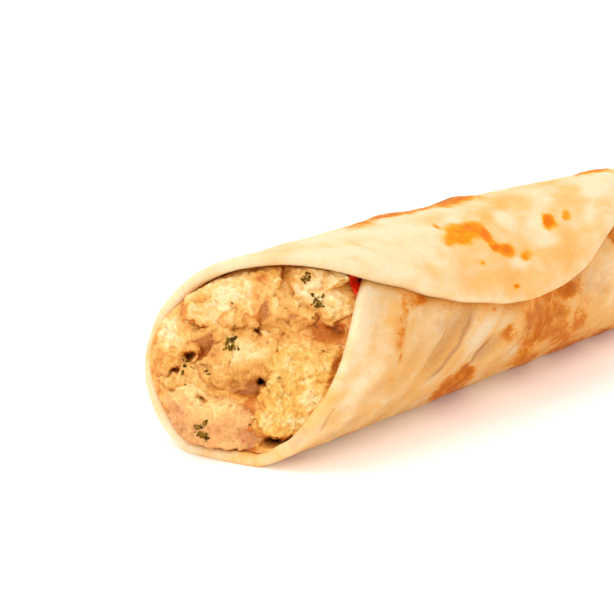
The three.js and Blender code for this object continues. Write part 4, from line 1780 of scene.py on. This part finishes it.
@dataclass
class Filling:
    """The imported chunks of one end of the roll."""

    shape: RollShape
    face: EndFace
    outward: Triple
    chunks: list[Chunk]
    view: View
    marks: tuple[SeenSpot, ...] = ()
    # Spots of more or less marinade, some of them painted shade and light.
    tints: tuple[SeenSpot, ...] = ()
    herbs: tuple[Herb, ...] = ()
    segments: int = 44
    voxel: float = 0.42
    overlap: float = 0.8
    ragged: float = 0.4
    ragged_size: float = 3.6
    chips: int = 3
    chip_lean: Span = (0.45, 1.0)
    chip_cut: Span = (0.88, 0.96)
    depth: float = 19.0
    bulge: float = 0.2
    sharpness: float = 34.0
    crowding: float = 0.25
    step: float = 0.5
    reach: float = 64.0
    halvings: int = 9
    sight_span: Span = (0.85, 1.15)
    sight_steps: int = 1201
    mark_depth: Span = (2.0, 7.0)
    shard_tint: float = 0.4
    # Walls turned from the view and not facing up take more marinade colour: marinade on the chunks' sides,
    # partly painted shade.
    wall_tint: float = 0.5
    wall_facing: Span = (0.55, 0.95)
    wall_upright: Span = (0.2, 0.6)
    herb_facing: float = 0.25

    def build(self) -> list[tuple[Chunk, Piece]]:
        """Models every chunk, each fitted to the others and to the bread.

        Returns:
            The chunks with their objects.
        """
        return [(chunk, self._build_chunk(chunk, SEED + index)) for index, chunk in enumerate(self.chunks)]

    def dress(self, built: list[tuple[Chunk, Piece]], shelf: dict[FillingLook, Material]) -> None:
        """Gives the chunks their finishes and their herbs, and hands them to the frame.

        Args:
            built: The chunks with their objects.
            shelf: The filling's materials by look.
        """
        for chunk, piece in built:
            piece.data.materials.append(shelf[chunk.look])
            herbs = [herb for herb in self.herbs if herb.node == chunk.node]
            if herbs:
                HerbScatter(herbs, self._seen_of(piece)).lay_on(piece, shelf[FillingLook.HERB])
            settle(piece, chunk.slot, chunk.node)

    def _seen_of(self, piece: Piece) -> Array:
        """Gives the places of a piece's points in the end's view, points turned away from it put far off."""
        seen = self.view.seen(self.shape.own_points(piece))
        turned_away = normals_of(piece) @ np.array(self.view.back) < self.herb_facing
        return np.where(turned_away[:, None], FAR_OFF, seen)

    def axes(self, chunk: Chunk) -> Array:
        """Gives a chunk's own axes as the columns of a matrix."""
        out = Vector(self.outward).normalized()
        across = Vector((0, 0, 1)).cross(out).normalized()
        base = Matrix((across, out.cross(across), out)).transposed()
        a, b, c = (math.radians(value) for value in chunk.turn)
        turn = Matrix.Rotation(a, 3, "X") @ Matrix.Rotation(b, 3, "Y") @ Matrix.Rotation(c, 3, "Z")
        return np.array(base @ turn)

    def _room(self, chunk: Chunk) -> Room:
        """Gives the test for the room of one chunk: inside the bread and within its depth of the face."""

        def holds(points: Array) -> Array:
            """Tells which points lie in the room."""
            behind = self.face.behind(self.shape, points)
            within = (behind > -self.bulge - chunk.proud) & (behind < self.depth)
            return self.shape.inside(points, chunk.clearance) & within

        return holds

    def _wall(self, room: Room, seed: Array, directions: Array) -> Array:
        """Marches from a seed to where the room ends along each direction.

        Args:
            room: The test for the room.
            seed: The chunk's middle.
            directions: Unit directions, one row for each.

        Returns:
            The distance to the wall along each direction.
        """
        near = np.zeros(len(directions))
        going = np.arange(len(directions))
        while len(going) and near[going[0]] < self.reach:
            ahead = near[going] + self.step
            going = going[room(seed + directions[going] * ahead[:, None])]
            near[going] += self.step
        far = near + self.step
        for _ in range(self.halvings):
            middle = (near + far) / 2
            held = room(seed + directions * middle[:, None])
            near, far = np.where(held, middle, near), np.where(held, far, middle)
        return near

    def _reach(self, chunk: Chunk, local: Array, directions: Array, seed: int) -> Array:
        """Gives how far a chunk reaches along directions: its faces, its neighbours and its room.

        Args:
            chunk: The chunk.
            local: The directions by the chunk's own axes.
            directions: The same directions in the roll's own frame.
            seed: The draw's seed.

        Returns:
            The distance from the chunk's middle along each direction.
        """
        middle = np.array(chunk.at)
        limits = [half / np.maximum(np.abs(part), TINY) for half, part in zip(chunk.half, local.T)]
        ragged = self.ragged * layered_noise(directions * chunk.weight / self.ragged_size, 2, seed)
        for other in self.chunks:
            if other is chunk:
                continue
            apart = np.array(other.at) - middle
            distance = np.linalg.norm(apart)
            share = distance * chunk.weight / (chunk.weight + other.weight) + self.overlap + ragged
            limits.append(plane_limit(share, directions @ apart / distance))
        limits.append(self._wall(self._room(chunk), middle, directions))
        limits.extend(self._facet_limit(facet, middle, directions) for facet in chunk.facets)
        whole = self._least(limits)
        draw = np.random.default_rng(seed)
        out = np.array(Vector(self.outward).normalized())
        for _ in range(self.chips):
            sideways = np.cross(out, draw.normal(size=3))
            chip = out + draw.uniform(*self.chip_lean) * sideways / np.linalg.norm(sideways)
            chip /= np.linalg.norm(chip)
            facing = directions @ chip
            limits.append(plane_limit(draw.uniform(*self.chip_cut) * (whole * facing).max(), facing))
        return self._least(limits)

    def _facet_limit(self, facet: Facet, middle: Array, directions: Array) -> Array:
        """Gives how far a chunk reaches along directions before it meets one of its broken faces."""
        right, up, back = self.view.axes
        target = np.array(self.view.target)
        eye = target + self.view.distance * back
        toward = target + facet.right * right + facet.up * up
        sight = eye + np.linspace(*self.sight_span, self.sight_steps)[:, None] * (toward - eye)
        first = int(np.argmax(self.face.behind(self.shape, sight) > 0))
        lean_right, lean_up = math.radians(facet.turn_right), math.radians(facet.turn_up)
        normal = back + math.tan(lean_right) * right + math.tan(lean_up) * up
        normal /= np.linalg.norm(normal)
        away = max(float(normal @ (sight[first] + facet.depth * back - middle)), self.step)
        return plane_limit(away, directions @ normal)

    def _least(self, limits: list[Array]) -> Array:
        """Gives the least of several reaches, with narrow rounds where two of them meet."""
        softened = sum(np.maximum(limit, self.step) ** -self.sharpness for limit in limits)
        return softened ** (-1 / self.sharpness)

    def _build_chunk(self, chunk: Chunk, seed: int) -> Piece:
        """Models one chunk: a divided cube drawn out to its walls, remeshed evenly and torn."""
        select_only()
        bpy.ops.mesh.primitive_cube_add(size=2)
        piece = just_added(f"{chunk.node}_torn")
        bpy.ops.object.mode_set(mode="EDIT")
        bpy.ops.mesh.select_all(action="SELECT")
        bpy.ops.mesh.subdivide(number_cuts=self.segments - 1)
        bpy.ops.object.mode_set(mode="OBJECT")
        cube = points_of(piece)
        local = cube * (1 + self.crowding * (1 - cube * cube)) * chunk.half
        local /= np.linalg.norm(local, axis=1, keepdims=True)
        directions = local @ self.axes(chunk).T
        reach = self._reach(chunk, local, directions, seed)
        self.shape.move_points(piece, np.array(chunk.at) + directions * reach[:, None])
        even = piece.modifiers.new("even", "REMESH")
        even.mode = "VOXEL"
        even.voxel_size = self.voxel * MM
        bpy.ops.object.modifier_apply(modifier=even.name)
        self._tear(chunk, piece, seed)
        return piece

    def _tear(self, chunk: Chunk, piece: Piece, seed: int) -> None:
        """Tears a chunk's surface, draws its marks and stores what its finish reads."""
        points = self.shape.own_points(piece)
        plain = normals_of(piece)
        back = self.view.axes[2]
        torn, shard = TORN[chunk.look].relief(points, seed)
        seen = self.view.seen(points)
        near = fade(self.face.behind(self.shape, points), *self.mark_depth)
        drawn = near * drawn_by(self.marks, points, seen) * (chunk.look is not FillingLook.PEPPER)
        points += plain * torn[:, None] + back * drawn[:, None]
        self.shape.move_points(piece, points)
        # Marinade on the chunks' sides, partly painted shade on walls turned from the view.
        wall = fade(plain @ back, *self.wall_facing) * fade(plain[:, 2], *self.wall_upright)
        tint = summed(self.tints, seen, SOFT) + self.shard_tint * (shard - 0.5) + self.wall_tint * wall
        store_looks(piece, torn, tint, self.face.behind(self.shape, points))


@dataclass
class HerbScatter:
    """Flakes of chopped herb that lie on one chunk, sunk a little into it."""

    herbs: list[Herb]
    seen: Array
    size: Triple = (0.66, 0.36, 0.18)
    closeness: float = 1.6
    growth: Span = (0.4, 1.35)
    crinkle: float = 0.45
    crinkles: float = 2.1
    crinkle_shift: float = 50.0
    curl: float = 0.18
    curls: float = 3.0
    curl_shift: float = 6.0
    stand: Span = (-0.1, 0.08)

    def lay_on(self, piece: Piece, material: Material) -> None:
        """Makes the flakes at each herb's place and joins them to the chunk.

        Args:
            piece: The chunk's object.
            material: The herbs' material.
        """
        points, normals = points_of(piece) / MM, normals_of(piece)
        draw = np.random.default_rng(SEED + len(piece.name))
        made = []
        for herb in self.herbs:
            for _ in range(herb.flakes):
                spot = np.array([herb.right, herb.up]) + draw.normal(0.0, herb.spread / self.closeness, 2)
                nearest = int(np.argmin(np.linalg.norm(self.seen - spot, axis=1)))
                made.append(self._flake(points[nearest], normals[nearest], draw))
                made[-1].data.materials.append(material)
        select_only(*made, piece)
        bpy.ops.object.join()

    def _flake(self, place: Array, normal: Array, draw: np.random.Generator) -> Piece:
        """Models one crinkled flake at a place on the chunk."""
        select_only()
        bpy.ops.mesh.primitive_ico_sphere_add(subdivisions=2, radius=1)
        flake = bpy.context.active_object
        out = Vector(normal).normalized()
        along = out.orthogonal().normalized()
        axes = np.array(Matrix((along, out.cross(along), out)).transposed())
        spin = draw.uniform(0, 2 * math.pi)
        c, s = math.cos(spin), math.sin(spin)
        ball = points_of(flake)
        shift = draw.uniform(0, self.crinkle_shift, 3)
        ball = ball * (1 + self.crinkle * soft_noise(ball * self.crinkles + shift))[:, None]
        ball = ball * np.array(self.size) * draw.uniform(*self.growth)
        ball[:, 2] += self.curl * np.sin(ball[:, 0] * self.curls + draw.uniform(0, self.curl_shift))
        ball = ball @ np.array([[c, s, 0], [-s, c, 0], [0, 0, 1]])
        ball[:, 2] += draw.uniform(*self.stand)
        place_points(flake, place + ball @ axes.T)
        return flake


def mouth_chunks() -> list[Chunk]:
    """Lists the chunks that fill the mouth and the strip of pepper beside them."""
    look = FillingLook
    return [
        Chunk(
            "paneer_upper_left", (19.4, 12.0, 34.2), (38, 27, 22), (-6, 4, -9), look.SAUCED, 3.0, 1.0,
            (
                Facet(-20.0, 0.0, 2.2, -5, 8),
                Facet(-32.4, -2.0, -3.0, -80, 0),
                Facet(-24.0, -9.2, 1.2, -10, -42),
                Facet(-11.5, -4.5, 1.2, 42, -22),
                Facet(-20.0, 5.8, 0.6, -26, 62),
            ),
        ),
        Chunk(
            "paneer_upper_right", (34.2, -5.0, 36.6), (28, 22, 19), (4, -8, 6), look.SAUCED, 3.0, 1.0,
            (
                Facet(3.0, 1.5, 2.2, 5, 12),
                Facet(1.0, -4.5, 1.5, -12, -38),
                Facet(12.4, 5.0, 0.5, 60, 38),
                Facet(-5.0, 4.0, 1.0, -50, 20),
            ),
        ),
        Chunk(
            "paneer_middle", (25.9, -2.6, 30.4), (24, 17, 17), (24, -10, -22), look.COATED, 3.0, 0.7,
            (Facet(-4.5, -6.5, 0.2, -8, -28), Facet(0.8, -8.0, 0.2, 58, -20)),
        ),
        Chunk(
            "paneer_lower_right", (21.2, -10.6, 17.2), (30, 34, 20), (-4, 3, -5), look.CRUMBLY, 3.0, 1.0,
            (
                Facet(-1.5, -24.0, 2.2, -12, 6),
                Facet(7.6, -17.0, 1.0, 60, 0),
                Facet(2.5, -30.5, 1.2, 45, -25),
                Facet(-2.0, -13.2, 0.8, 0, 60),
                Facet(-7.0, -35.8, 0.2, -12, -68),
            ),
        ),
        Chunk(
            "paneer_centre", (13.8, 5.2, 20.4), (34, 30, 18), (18, 12, 14), look.COATED, 3.0, 0.7,
            (Facet(-17.0, -13.0, 2.4, -4, 42), Facet(-18.0, -20.0, 1.4, 8, -32)),
        ),
        Chunk(
            "paneer_bottom", (7.6, 10.4, 9.8), (48, 32, 20), (-10, 4, -16), look.ROSY, 2.4, 1.5,
            (
                Facet(-30.0, -25.2, 2.2, -8, 50),
                Facet(-25.0, -33.5, 2.2, -2, -10),
                Facet(-12.6, -34.0, 0.8, 66, -6),
                Facet(-37.5, -31.0, 0.0, -50, 5),
            ),
        ),
        Chunk(
            "paneer_left", (8.0, 19.8, 23.4), (20, 30, 17), (0, -14, 8), look.SAUCED, 1.6, 1.9,
            (
                Facet(-35.5, -8.0, 0.6, -16, 14),
                Facet(-38.0, -16.0, -0.2, -25, -25),
                Facet(-36.0, -4.2, -1.0, 0, 62),
            ),
        ),
        Chunk(
            "paneer_sliver", (7.4, 15.0, 18.2), (15, 10, 9), (10, 0, -28), look.COATED, 0.6, 1.6,
            (Facet(-32.5, -16.5, 0.3, 0, 35),),
        ),
        Chunk(
            "paneer_shaded", (12.4, 12.2, 25.4), (13, 12, 14), (16, 6, 20), look.COATED, 3.0, 0.7,
            (Facet(-27.0, -12.5, -0.8, -12, -40),),
        ),
        Chunk("paneer_recessed", (35.0, -9.6, 27.4), (18, 16, 12), (0, 0, 5), look.DEEP, -2.4),
        Chunk(
            "pepper_red", (41.6, -11.0, 40.4), (12, 10, 9), (0, 20, 12), look.PEPPER, 3.2, 0.15,
            (Facet(12.2, 4.5, 0.5, -76, -50),),
        ),
    ]


MOUTH_OUTWARD = (-0.8, -0.42, 0.3)
MOUTH_FACE = EndFace(tilt=37, span=22, at=7.6, slope=16.5, bow=9)
MOUTH_MARKS = seen_spots(
    (-31.2, -14.7, 2.2, 1.9, -7.0), (-34.6, -18.6, 2.6, 1.3, -6.0, 35), (-11.8, -21.8, 2.0, 1.8, -8.0),
    (-12.9, -8.4, 1.6, 2.0, -5.0), (-28.1, -26.2, 2.4, 1.0, -4.0, -25),
    (-9.0, -37.4, 4.6, 1.3, -9.0, 4), (-16.8, -21.8, 5.4, 4.2, -1.7), (1.6, -5.6, 2.6, 2.0, 1.6),
)
# Spots of more or less marinade on the mouth's chunks, some of them painted shade on downturned facets and
# hollows and painted light on lit ledges.
MOUTH_TINTS = seen_spots(
    (-20.8, 0.0, 9.0, 4.5, -0.35), (-11.3, -2.9, 2.2, 4.6, 1.3, -30), (-26.6, -10.6, 5.6, 4.8, 0.8),
    (-18.9, -7.4, 5.0, 2.6, 0.3), (-11.6, 6.0, 3.0, 1.6, 0.5), (-25.8, 0.8, 2.4, 1.6, 0.35),
    (4.7, 2.6, 8.0, 5.5, -0.3), (-4.5, -5.8, 6.4, 4.6, 0.3), (-5.8, -10.2, 5.6, 2.4, 0.2),
    (1.3, -26.3, 4.0, 4.0, -0.5), (-1.8, -31.5, 5.0, 3.0, -0.3), (7.2, -17.0, 1.1, 8.0, 0.9, -16),
    (2.6, -30.2, 1.1, 5.0, 0.9, -35), (-16.3, -13.4, 7.0, 3.4, -0.6), (-25.0, -17.0, 4.0, 3.0, 0.2),
    (-28.4, -26.8, 10.0, 3.4, -0.25, -8), (-26.8, -34.7, 12.0, 3.8, 0.38, -6),
    (-16.3, -34.7, 4.0, 3.6, 0.35), (-38.6, -16.3, 4.0, 5.0, -0.1), (-36.5, -7.7, 5.0, 6.0, -0.4),
)
MOUTH_HERBS = (
    Herb("paneer_upper_right", 2.9, -0.5, 1.3, 20),
    Herb("paneer_upper_right", 0.2, 5.8, 1.3, 10),
    Herb("paneer_centre", -20.0, -11.6, 1.3, 26),
    Herb("paneer_upper_left", -19.6, -9.8, 1.3, 22),
    Herb("paneer_sliver", -30.8, -17.6, 1.4, 6),
    Herb("paneer_bottom", -31.3, -21.6, 1.1, 5),
    Herb("paneer_bottom", -28.1, -34.2, 1.4, 18),
    Herb("paneer_bottom", -26.8, -36.0, 0.9, 12),
    Herb("paneer_upper_left", -20.8, -1.3, 0.9, 2),
    Herb("paneer_lower_right", 4.5, -12.9, 0.7, 2),
    Herb("paneer_bottom", -14.7, -32.6, 0.5, 1),
    Herb("paneer_centre", -26.0, -18.7, 1.2, 3),
)
TAIL_OUTWARD = (1.0, 0.0, 0.0)
TAIL_FACE = EndFace(tilt=-22, span=18, at=201, slope=-11, bow=-5)
TAIL_VIEW = View(azimuth=90.0, elevation=0.0, target=(201.0, 0.0, 19.0))
TAIL_TINTS = seen_spots(
    (4.0, 7.0, 6.0, 5.0, -0.45), (-8.0, -5.0, 6.0, 5.0, -0.4), (8.0, -7.0, 5.0, 6.0, 0.3),
    (-7.0, 8.0, 4.0, 4.0, 0.3), (2.0, -12.0, 5.0, 3.0, -0.3),
)
TAIL_HERBS = (
    Herb("paneer_tail_1", 2.0, 2.5, 1.4, 7),
    Herb("paneer_tail_2", 8.0, 5.0, 1.2, 6),
    Herb("paneer_tail_4", -3.0, -9.0, 1.4, 8),
    Herb("paneer_tail_6", -6.0, 8.0, 1.0, 5),
)


@dataclass(frozen=True)
class BedMarks:
    """Where a sauce bed is hollowed, drawn in, or stained with spots that are partly painted shade and light,
    as the end's view sees it.
    """

    hollows: tuple[SeenSpot, ...]
    holes: tuple[SeenSpot, ...]
    stains_and_shade: tuple[SeenSpot, ...]


MOUTH_BED = BedMarks(
    hollows=seen_spots(
        (13.0, 4.6, 6.5, 6.0, 14.0), (5.6, -8.8, 4.4, 3.0, 3.6), (-14.0, 7.5, 14.0, 4.0, 1.3, 10),
        (-32.0, 1.0, 6.0, 9.0, 1.5, -40), (-14.6, -23.0, 4.5, 3.5, 8.0),
        (-8.3, -37.4, 6.2, 1.6, 14.0, 4), (-11.0, -33.0, 2.0, 4.0, 4.0), (-18.0, -38.0, 9.0, 4.0, 3.0),
    ),
    holes=MOUTH_MARKS,
    # The last stain is painted shade in the recess.
    stains_and_shade=MOUTH_TINTS + seen_spots((-33.0, 1.0, 5.0, 9.0, 0.1, -40), (5.6, -8.6, 5.0, 3.4, 0.5)),
)
TAIL_BED = BedMarks(
    hollows=(),
    holes=(),
    stains_and_shade=seen_spots((3.0, 6.0, 9.0, 5.0, 0.3), (-6.0, -6.0, 7.0, 4.0, 0.2)),
)


@dataclass
class SauceBed:
    """Thick spiced sauce and crumbled curd between the chunks: a bed just behind an end's face."""

    name: str
    shape: RollShape
    view: View
    face: EndFace
    marks: BedMarks
    cells: int = 124
    behind: float = 1.6
    thickness: float = 3.0
    clearance: float = 0.1
    hole_depth: float = 1.6
    marinade: float = 0.26
    shard_tint: float = 0.3
    rim_step: float = 0.5
    rim_most: float = 3.0
    rim_ease: Span = (0.3, 2.0)
    outline_points: int = 361
    march: Triple = (0.5, 32.0, 0.25)
    march_gap: float = 0.6
    outline_trim: int = 4
    outline_ease: int = 6

    def build(self) -> Piece:
        """Models the bed across the end.

        Returns:
            The bed.
        """
        select_only()
        bpy.ops.mesh.primitive_grid_add(x_subdivisions=self.cells, y_subdivisions=self.cells, size=2)
        piece = just_added(self.name)
        self.shape.move_points(piece, self._spread(*disc(points_of(piece))))
        thick = piece.modifiers.new("thick", "SOLIDIFY")
        thick.thickness = self.thickness * MM
        thick.offset = -1.0
        bpy.ops.object.modifier_apply(modifier=thick.name)
        points = self.shape.own_points(piece)
        torn, shard = TORN[FillingLook.SAUCED].relief(points, SEED)
        seen = self.view.seen(points)
        held = smoothstep(self._rim(points), *self.rim_ease)
        points[:, 0] += np.sign(self.face.slope) * summed(self.marks.hollows, seen, SOFT)
        holes = np.minimum(drawn_by(self.marks.holes, points, seen), 0.0)
        lift = held * (torn + self.hole_depth * holes)
        points += self.view.axes[2] * lift[:, None]
        self.shape.move_points(piece, points)
        # The stains include painted shade and light.
        tint = summed(self.marks.stains_and_shade, seen, SOFT) + self.shard_tint * (shard - 0.5) + self.marinade
        store_looks(piece, torn, tint, self.face.behind(self.shape, points))
        return piece

    @staticmethod
    def dress(piece: Piece, material: Material) -> None:
        """Gives the bed its finish and hands it to the frame.

        Args:
            piece: The built bed.
            material: The finish of paneer under sauce.
        """
        piece.data.materials.append(material)
        settle(piece, "filling")

    def _rim(self, points: Array) -> Array:
        """Measures how far places are inside the bread, up to a few millimetres."""
        steps = np.arange(self.rim_step, self.rim_most, self.rim_step)
        return sum(self.rim_step * self.shape.inside(points, step) for step in steps)

    def _spread(self, across: Array, up: Array) -> Array:
        """Spreads a disc over the end's section, out to the bread."""
        around = np.linspace(-math.pi, math.pi, self.outline_points)
        out = np.zeros_like(around)
        for distance in np.arange(*self.march):
            held = self.shape.inside(self._on_face(around, np.full_like(around, distance)), self.clearance)
            out = np.where(held & (out > distance - self.march_gap), distance, out)
        trim, ease = (range(-most, most + 1) for most in (self.outline_trim, self.outline_ease))
        out = np.min([np.roll(out, step) for step in trim], axis=0)
        out = np.mean([np.roll(out, step) for step in ease], axis=0)
        angle = np.arctan2(up, across)
        return self._on_face(angle, np.interp(angle, around, out) * np.hypot(across, up))

    def _on_face(self, angle: Array, distance: Array) -> Array:
        """Gives the places at angles and distances round the roll's axis, a little behind the end's face."""
        side = float(np.sign(self.face.slope))
        axis = np.array([self.face.at, 0.0, float(self.shape.axis_height(self.face.at))])
        section = [0 * angle, -side * np.cos(angle) * distance, np.sin(angle) * distance]
        points = axis + np.stack(section, axis=1)
        points[:, 0] -= side * (self.face.behind(self.shape, points) - self.behind)
        return points


@dataclass
class TailRing:
    """The chunks of the tail: one in the middle and a ring round it, each a little different."""

    shape: RollShape
    count: int = 5
    radius: float = 10.5
    size: Triple = (20.0, 20.0, 27.0)
    sink: float = 8.0
    scatter: float = 0.6
    uneven: float = 0.15
    turn: float = 18.0
    proud: float = 4.0
    face_depth: Span = (1.0, 1.4)
    face_lean: float = 22.0

    def chunks(self) -> list[Chunk]:
        """Lists the tail's chunks.

        Returns:
            The middle chunk and the ring.
        """
        looks = (FillingLook.CRUMBLY, FillingLook.SAUCED, FillingLook.COATED)
        listed = []
        for index in range(self.count + 1):
            radius = self.radius if index else 0.0
            angle = index * 2 * math.pi / self.count
            y = radius * math.sin(angle)
            z = float(self.shape.axis_height(TAIL_FACE.at)) + radius * math.cos(angle)
            level = TAIL_FACE.behind(self.shape, np.array([[0.0, y, z]]))[0]
            x = level - self.sink + self.scatter * self._draw(index, 0, 0)
            uneven = (1 + self.uneven * self._draw(index, axis, 1) for axis in range(3))
            size = tuple(usual * share for usual, share in zip(self.size, uneven))
            turn = tuple(self.turn * self._draw(index, axis, 2) for axis in range(3))
            look = looks[index % len(looks)]
            face = self._face(index, y, z)
            listed.append(
                Chunk(f"paneer_tail_{index + 1}", (x, y, z), size, turn, look, self.proud, facets=(face,))
            )
        return listed

    def _face(self, index: int, y: float, z: float) -> Facet:
        """Gives a chunk's broken face: near the tail's own face, a little higher or lower and leaning."""
        near = np.array([[0.0, y - 1, z], [0.0, y + 1, z], [0.0, y, z - 1], [0.0, y, z + 1]])
        behind = TAIL_FACE.behind(self.shape, near)
        leans = [math.degrees(math.atan((behind[k] - behind[k + 1]) / 2)) for k in (0, 2)]
        turned = [lean + self.face_lean * self._draw(index, axis, 3) for axis, lean in enumerate(leans)]
        right, up = TAIL_VIEW.seen(np.array([[TAIL_FACE.at, y, z]]))[0]
        middle, spread = self.face_depth
        return Facet(right, up, middle + spread * self._draw(index, 0, 4), *turned)

    @staticmethod
    def _draw(*cell: int) -> float:
        """Gives the fixed value between -1 and 1 of one lattice cell."""
        return float(lattice_value(np.array([cell]), SEED)[0])


@dataclass(frozen=True)
class Lamp:
    """A soft square light that points at the roll, in metres and watts."""

    name: str
    place: Triple
    size: float
    power: float
    colour: Triple

    def hang(self) -> None:
        """Hangs the light at its place."""
        data = bpy.data.lights.new(self.name, "AREA")
        data.size = self.size
        data.energy = self.power
        data.color = self.colour
        light = bpy.data.objects.new(self.name, data)
        light.location = self.place
        light.rotation_euler = (-Vector(self.place)).to_track_quat("-Z", "Y").to_euler()
        bpy.context.scene.collection.objects.link(light)


@dataclass(frozen=True)
class Studio:
    """The pale floor, the soft lights and the camera."""

    view: View
    sensor: float = 36.0
    floor_size: float = 8.0
    floor_cells: int = 8
    floor_tones: tuple[Colour, Colour] = (tone(250, 249, 248), tone(252, 251, 250))
    floor_glow: Colour = (1.0, 0.93, 0.89, 1.0)
    floor_glow_strength: float = 0.12
    sky: Colour = (1.0, 0.855, 0.785, 1.0)
    sky_strength: float = 1.12
    lamps: tuple[Lamp, ...] = (
        Lamp("key", (-0.3, 0.55, 1.15), 0.9, 6.5, (0.92, 1.0, 1.06)),
        Lamp("front", (-1.0, -0.35, 0.75), 1.0, 2.5, (1.0, 0.97, 0.92)),
    )

    def build(self, shape: RollShape) -> None:
        """Sets up the floor, lights, world and camera.

        Args:
            shape: The roll's rule, for its place in the frame.
        """
        self._floor()
        self._world()
        for lamp in self.lamps:
            lamp.hang()
        self._camera(shape)

    def _floor(self) -> None:
        """Lays a pale matt floor."""
        select_only()
        cells = {"x_subdivisions": self.floor_cells, "y_subdivisions": self.floor_cells}
        bpy.ops.mesh.primitive_grid_add(size=self.floor_size, **cells)
        floor = just_added("floor")
        material, sheet, shader = Surface("pale_floor", roughness=0.9, specular=0.1).start()
        shade = sheet.between(sheet.noise(sheet.own_place(), scale=3.0), 0.2, 0.8)
        sheet.feed(shader.inputs["Base Color"], sheet.mix(shade, *self.floor_tones))
        sheet.feed(shader.inputs["Emission Color"], self.floor_glow)
        sheet.feed(shader.inputs["Emission Strength"], self.floor_glow_strength)
        floor.data.materials.append(material)

    def _world(self) -> None:
        """Surrounds the roll with warm white light."""
        world = bpy.data.worlds.new("studio")
        world.use_nodes = True
        world.node_tree.nodes.clear()
        sheet = NodeSheet(world.node_tree)
        background = sheet.new("Background", {"Color": self.sky, "Strength": self.sky_strength})
        sheet.new("OutputWorld", {"Surface": background.outputs[0]})
        bpy.context.scene.world = world
        bpy.context.scene.view_settings.view_transform = "Standard"

    def _camera(self, shape: RollShape) -> None:
        """Sets the camera at the photograph's angle and distance."""
        back = self.view.back
        target = (Vector(self.view.target) + Vector(shape.origin)) * MM
        data = bpy.data.cameras.new("camera")
        data.sensor_width = self.sensor
        data.lens = self.sensor * self.view.focal_pixels / IMAGE_WIDTH
        camera = bpy.data.objects.new("camera", data)
        camera.location = target + back * self.view.distance * MM
        camera.rotation_euler = (-back).to_track_quat("-Z", "Y").to_euler()
        bpy.context.scene.collection.objects.link(camera)
        bpy.context.scene.camera = camera


def dress_core(effects: EffectShelf) -> None:
    """Gives the solid core its finish; it stays as it is between the end pieces."""
    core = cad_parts["filling_core"]
    core.data.materials.clear()
    core.data.materials.append(CORE_FINISH.make(effects))


def main() -> None:
    """Builds and dresses the roll, then sets up the studio."""
    logging.basicConfig(level=logging.INFO, format="%(name)s %(message)s")
    shape = RollShape()
    effects = EffectShelf()
    view = View()
    bread = Flatbread(shape, view)
    bread.dress(bread.build(), effects)
    shelf = {finish.look: finish.make(effects) for finish in PANEER_FINISHES}
    shelf[FillingLook.HERB] = HERB_FINISH.make(effects)
    shelf[FillingLook.PEPPER] = PEPPER_FINISH.make(effects)
    beds = (
        SauceBed("sauce_bed_mouth", shape, view, MOUTH_FACE, MOUTH_BED),
        SauceBed("sauce_bed_tail", shape, TAIL_VIEW, TAIL_FACE, TAIL_BED, behind=0.9),
    )
    for bed in beds:
        bed.dress(bed.build(), shelf[FillingLook.SAUCED])
    mouth = Filling(
        shape, MOUTH_FACE, MOUTH_OUTWARD, mouth_chunks(), view, MOUTH_MARKS, MOUTH_TINTS, MOUTH_HERBS
    )
    tail = Filling(
        shape,
        TAIL_FACE,
        TAIL_OUTWARD,
        TailRing(shape).chunks(),
        TAIL_VIEW,
        tints=TAIL_TINTS,
        herbs=TAIL_HERBS,
        voxel=0.5,
        overlap=0.6,
    )
    for filling in (mouth, tail):
        filling.dress(filling.build(), shelf)
    dress_core(effects)
    Studio(view).build(shape)


if __name__ == "__main__":
    main()
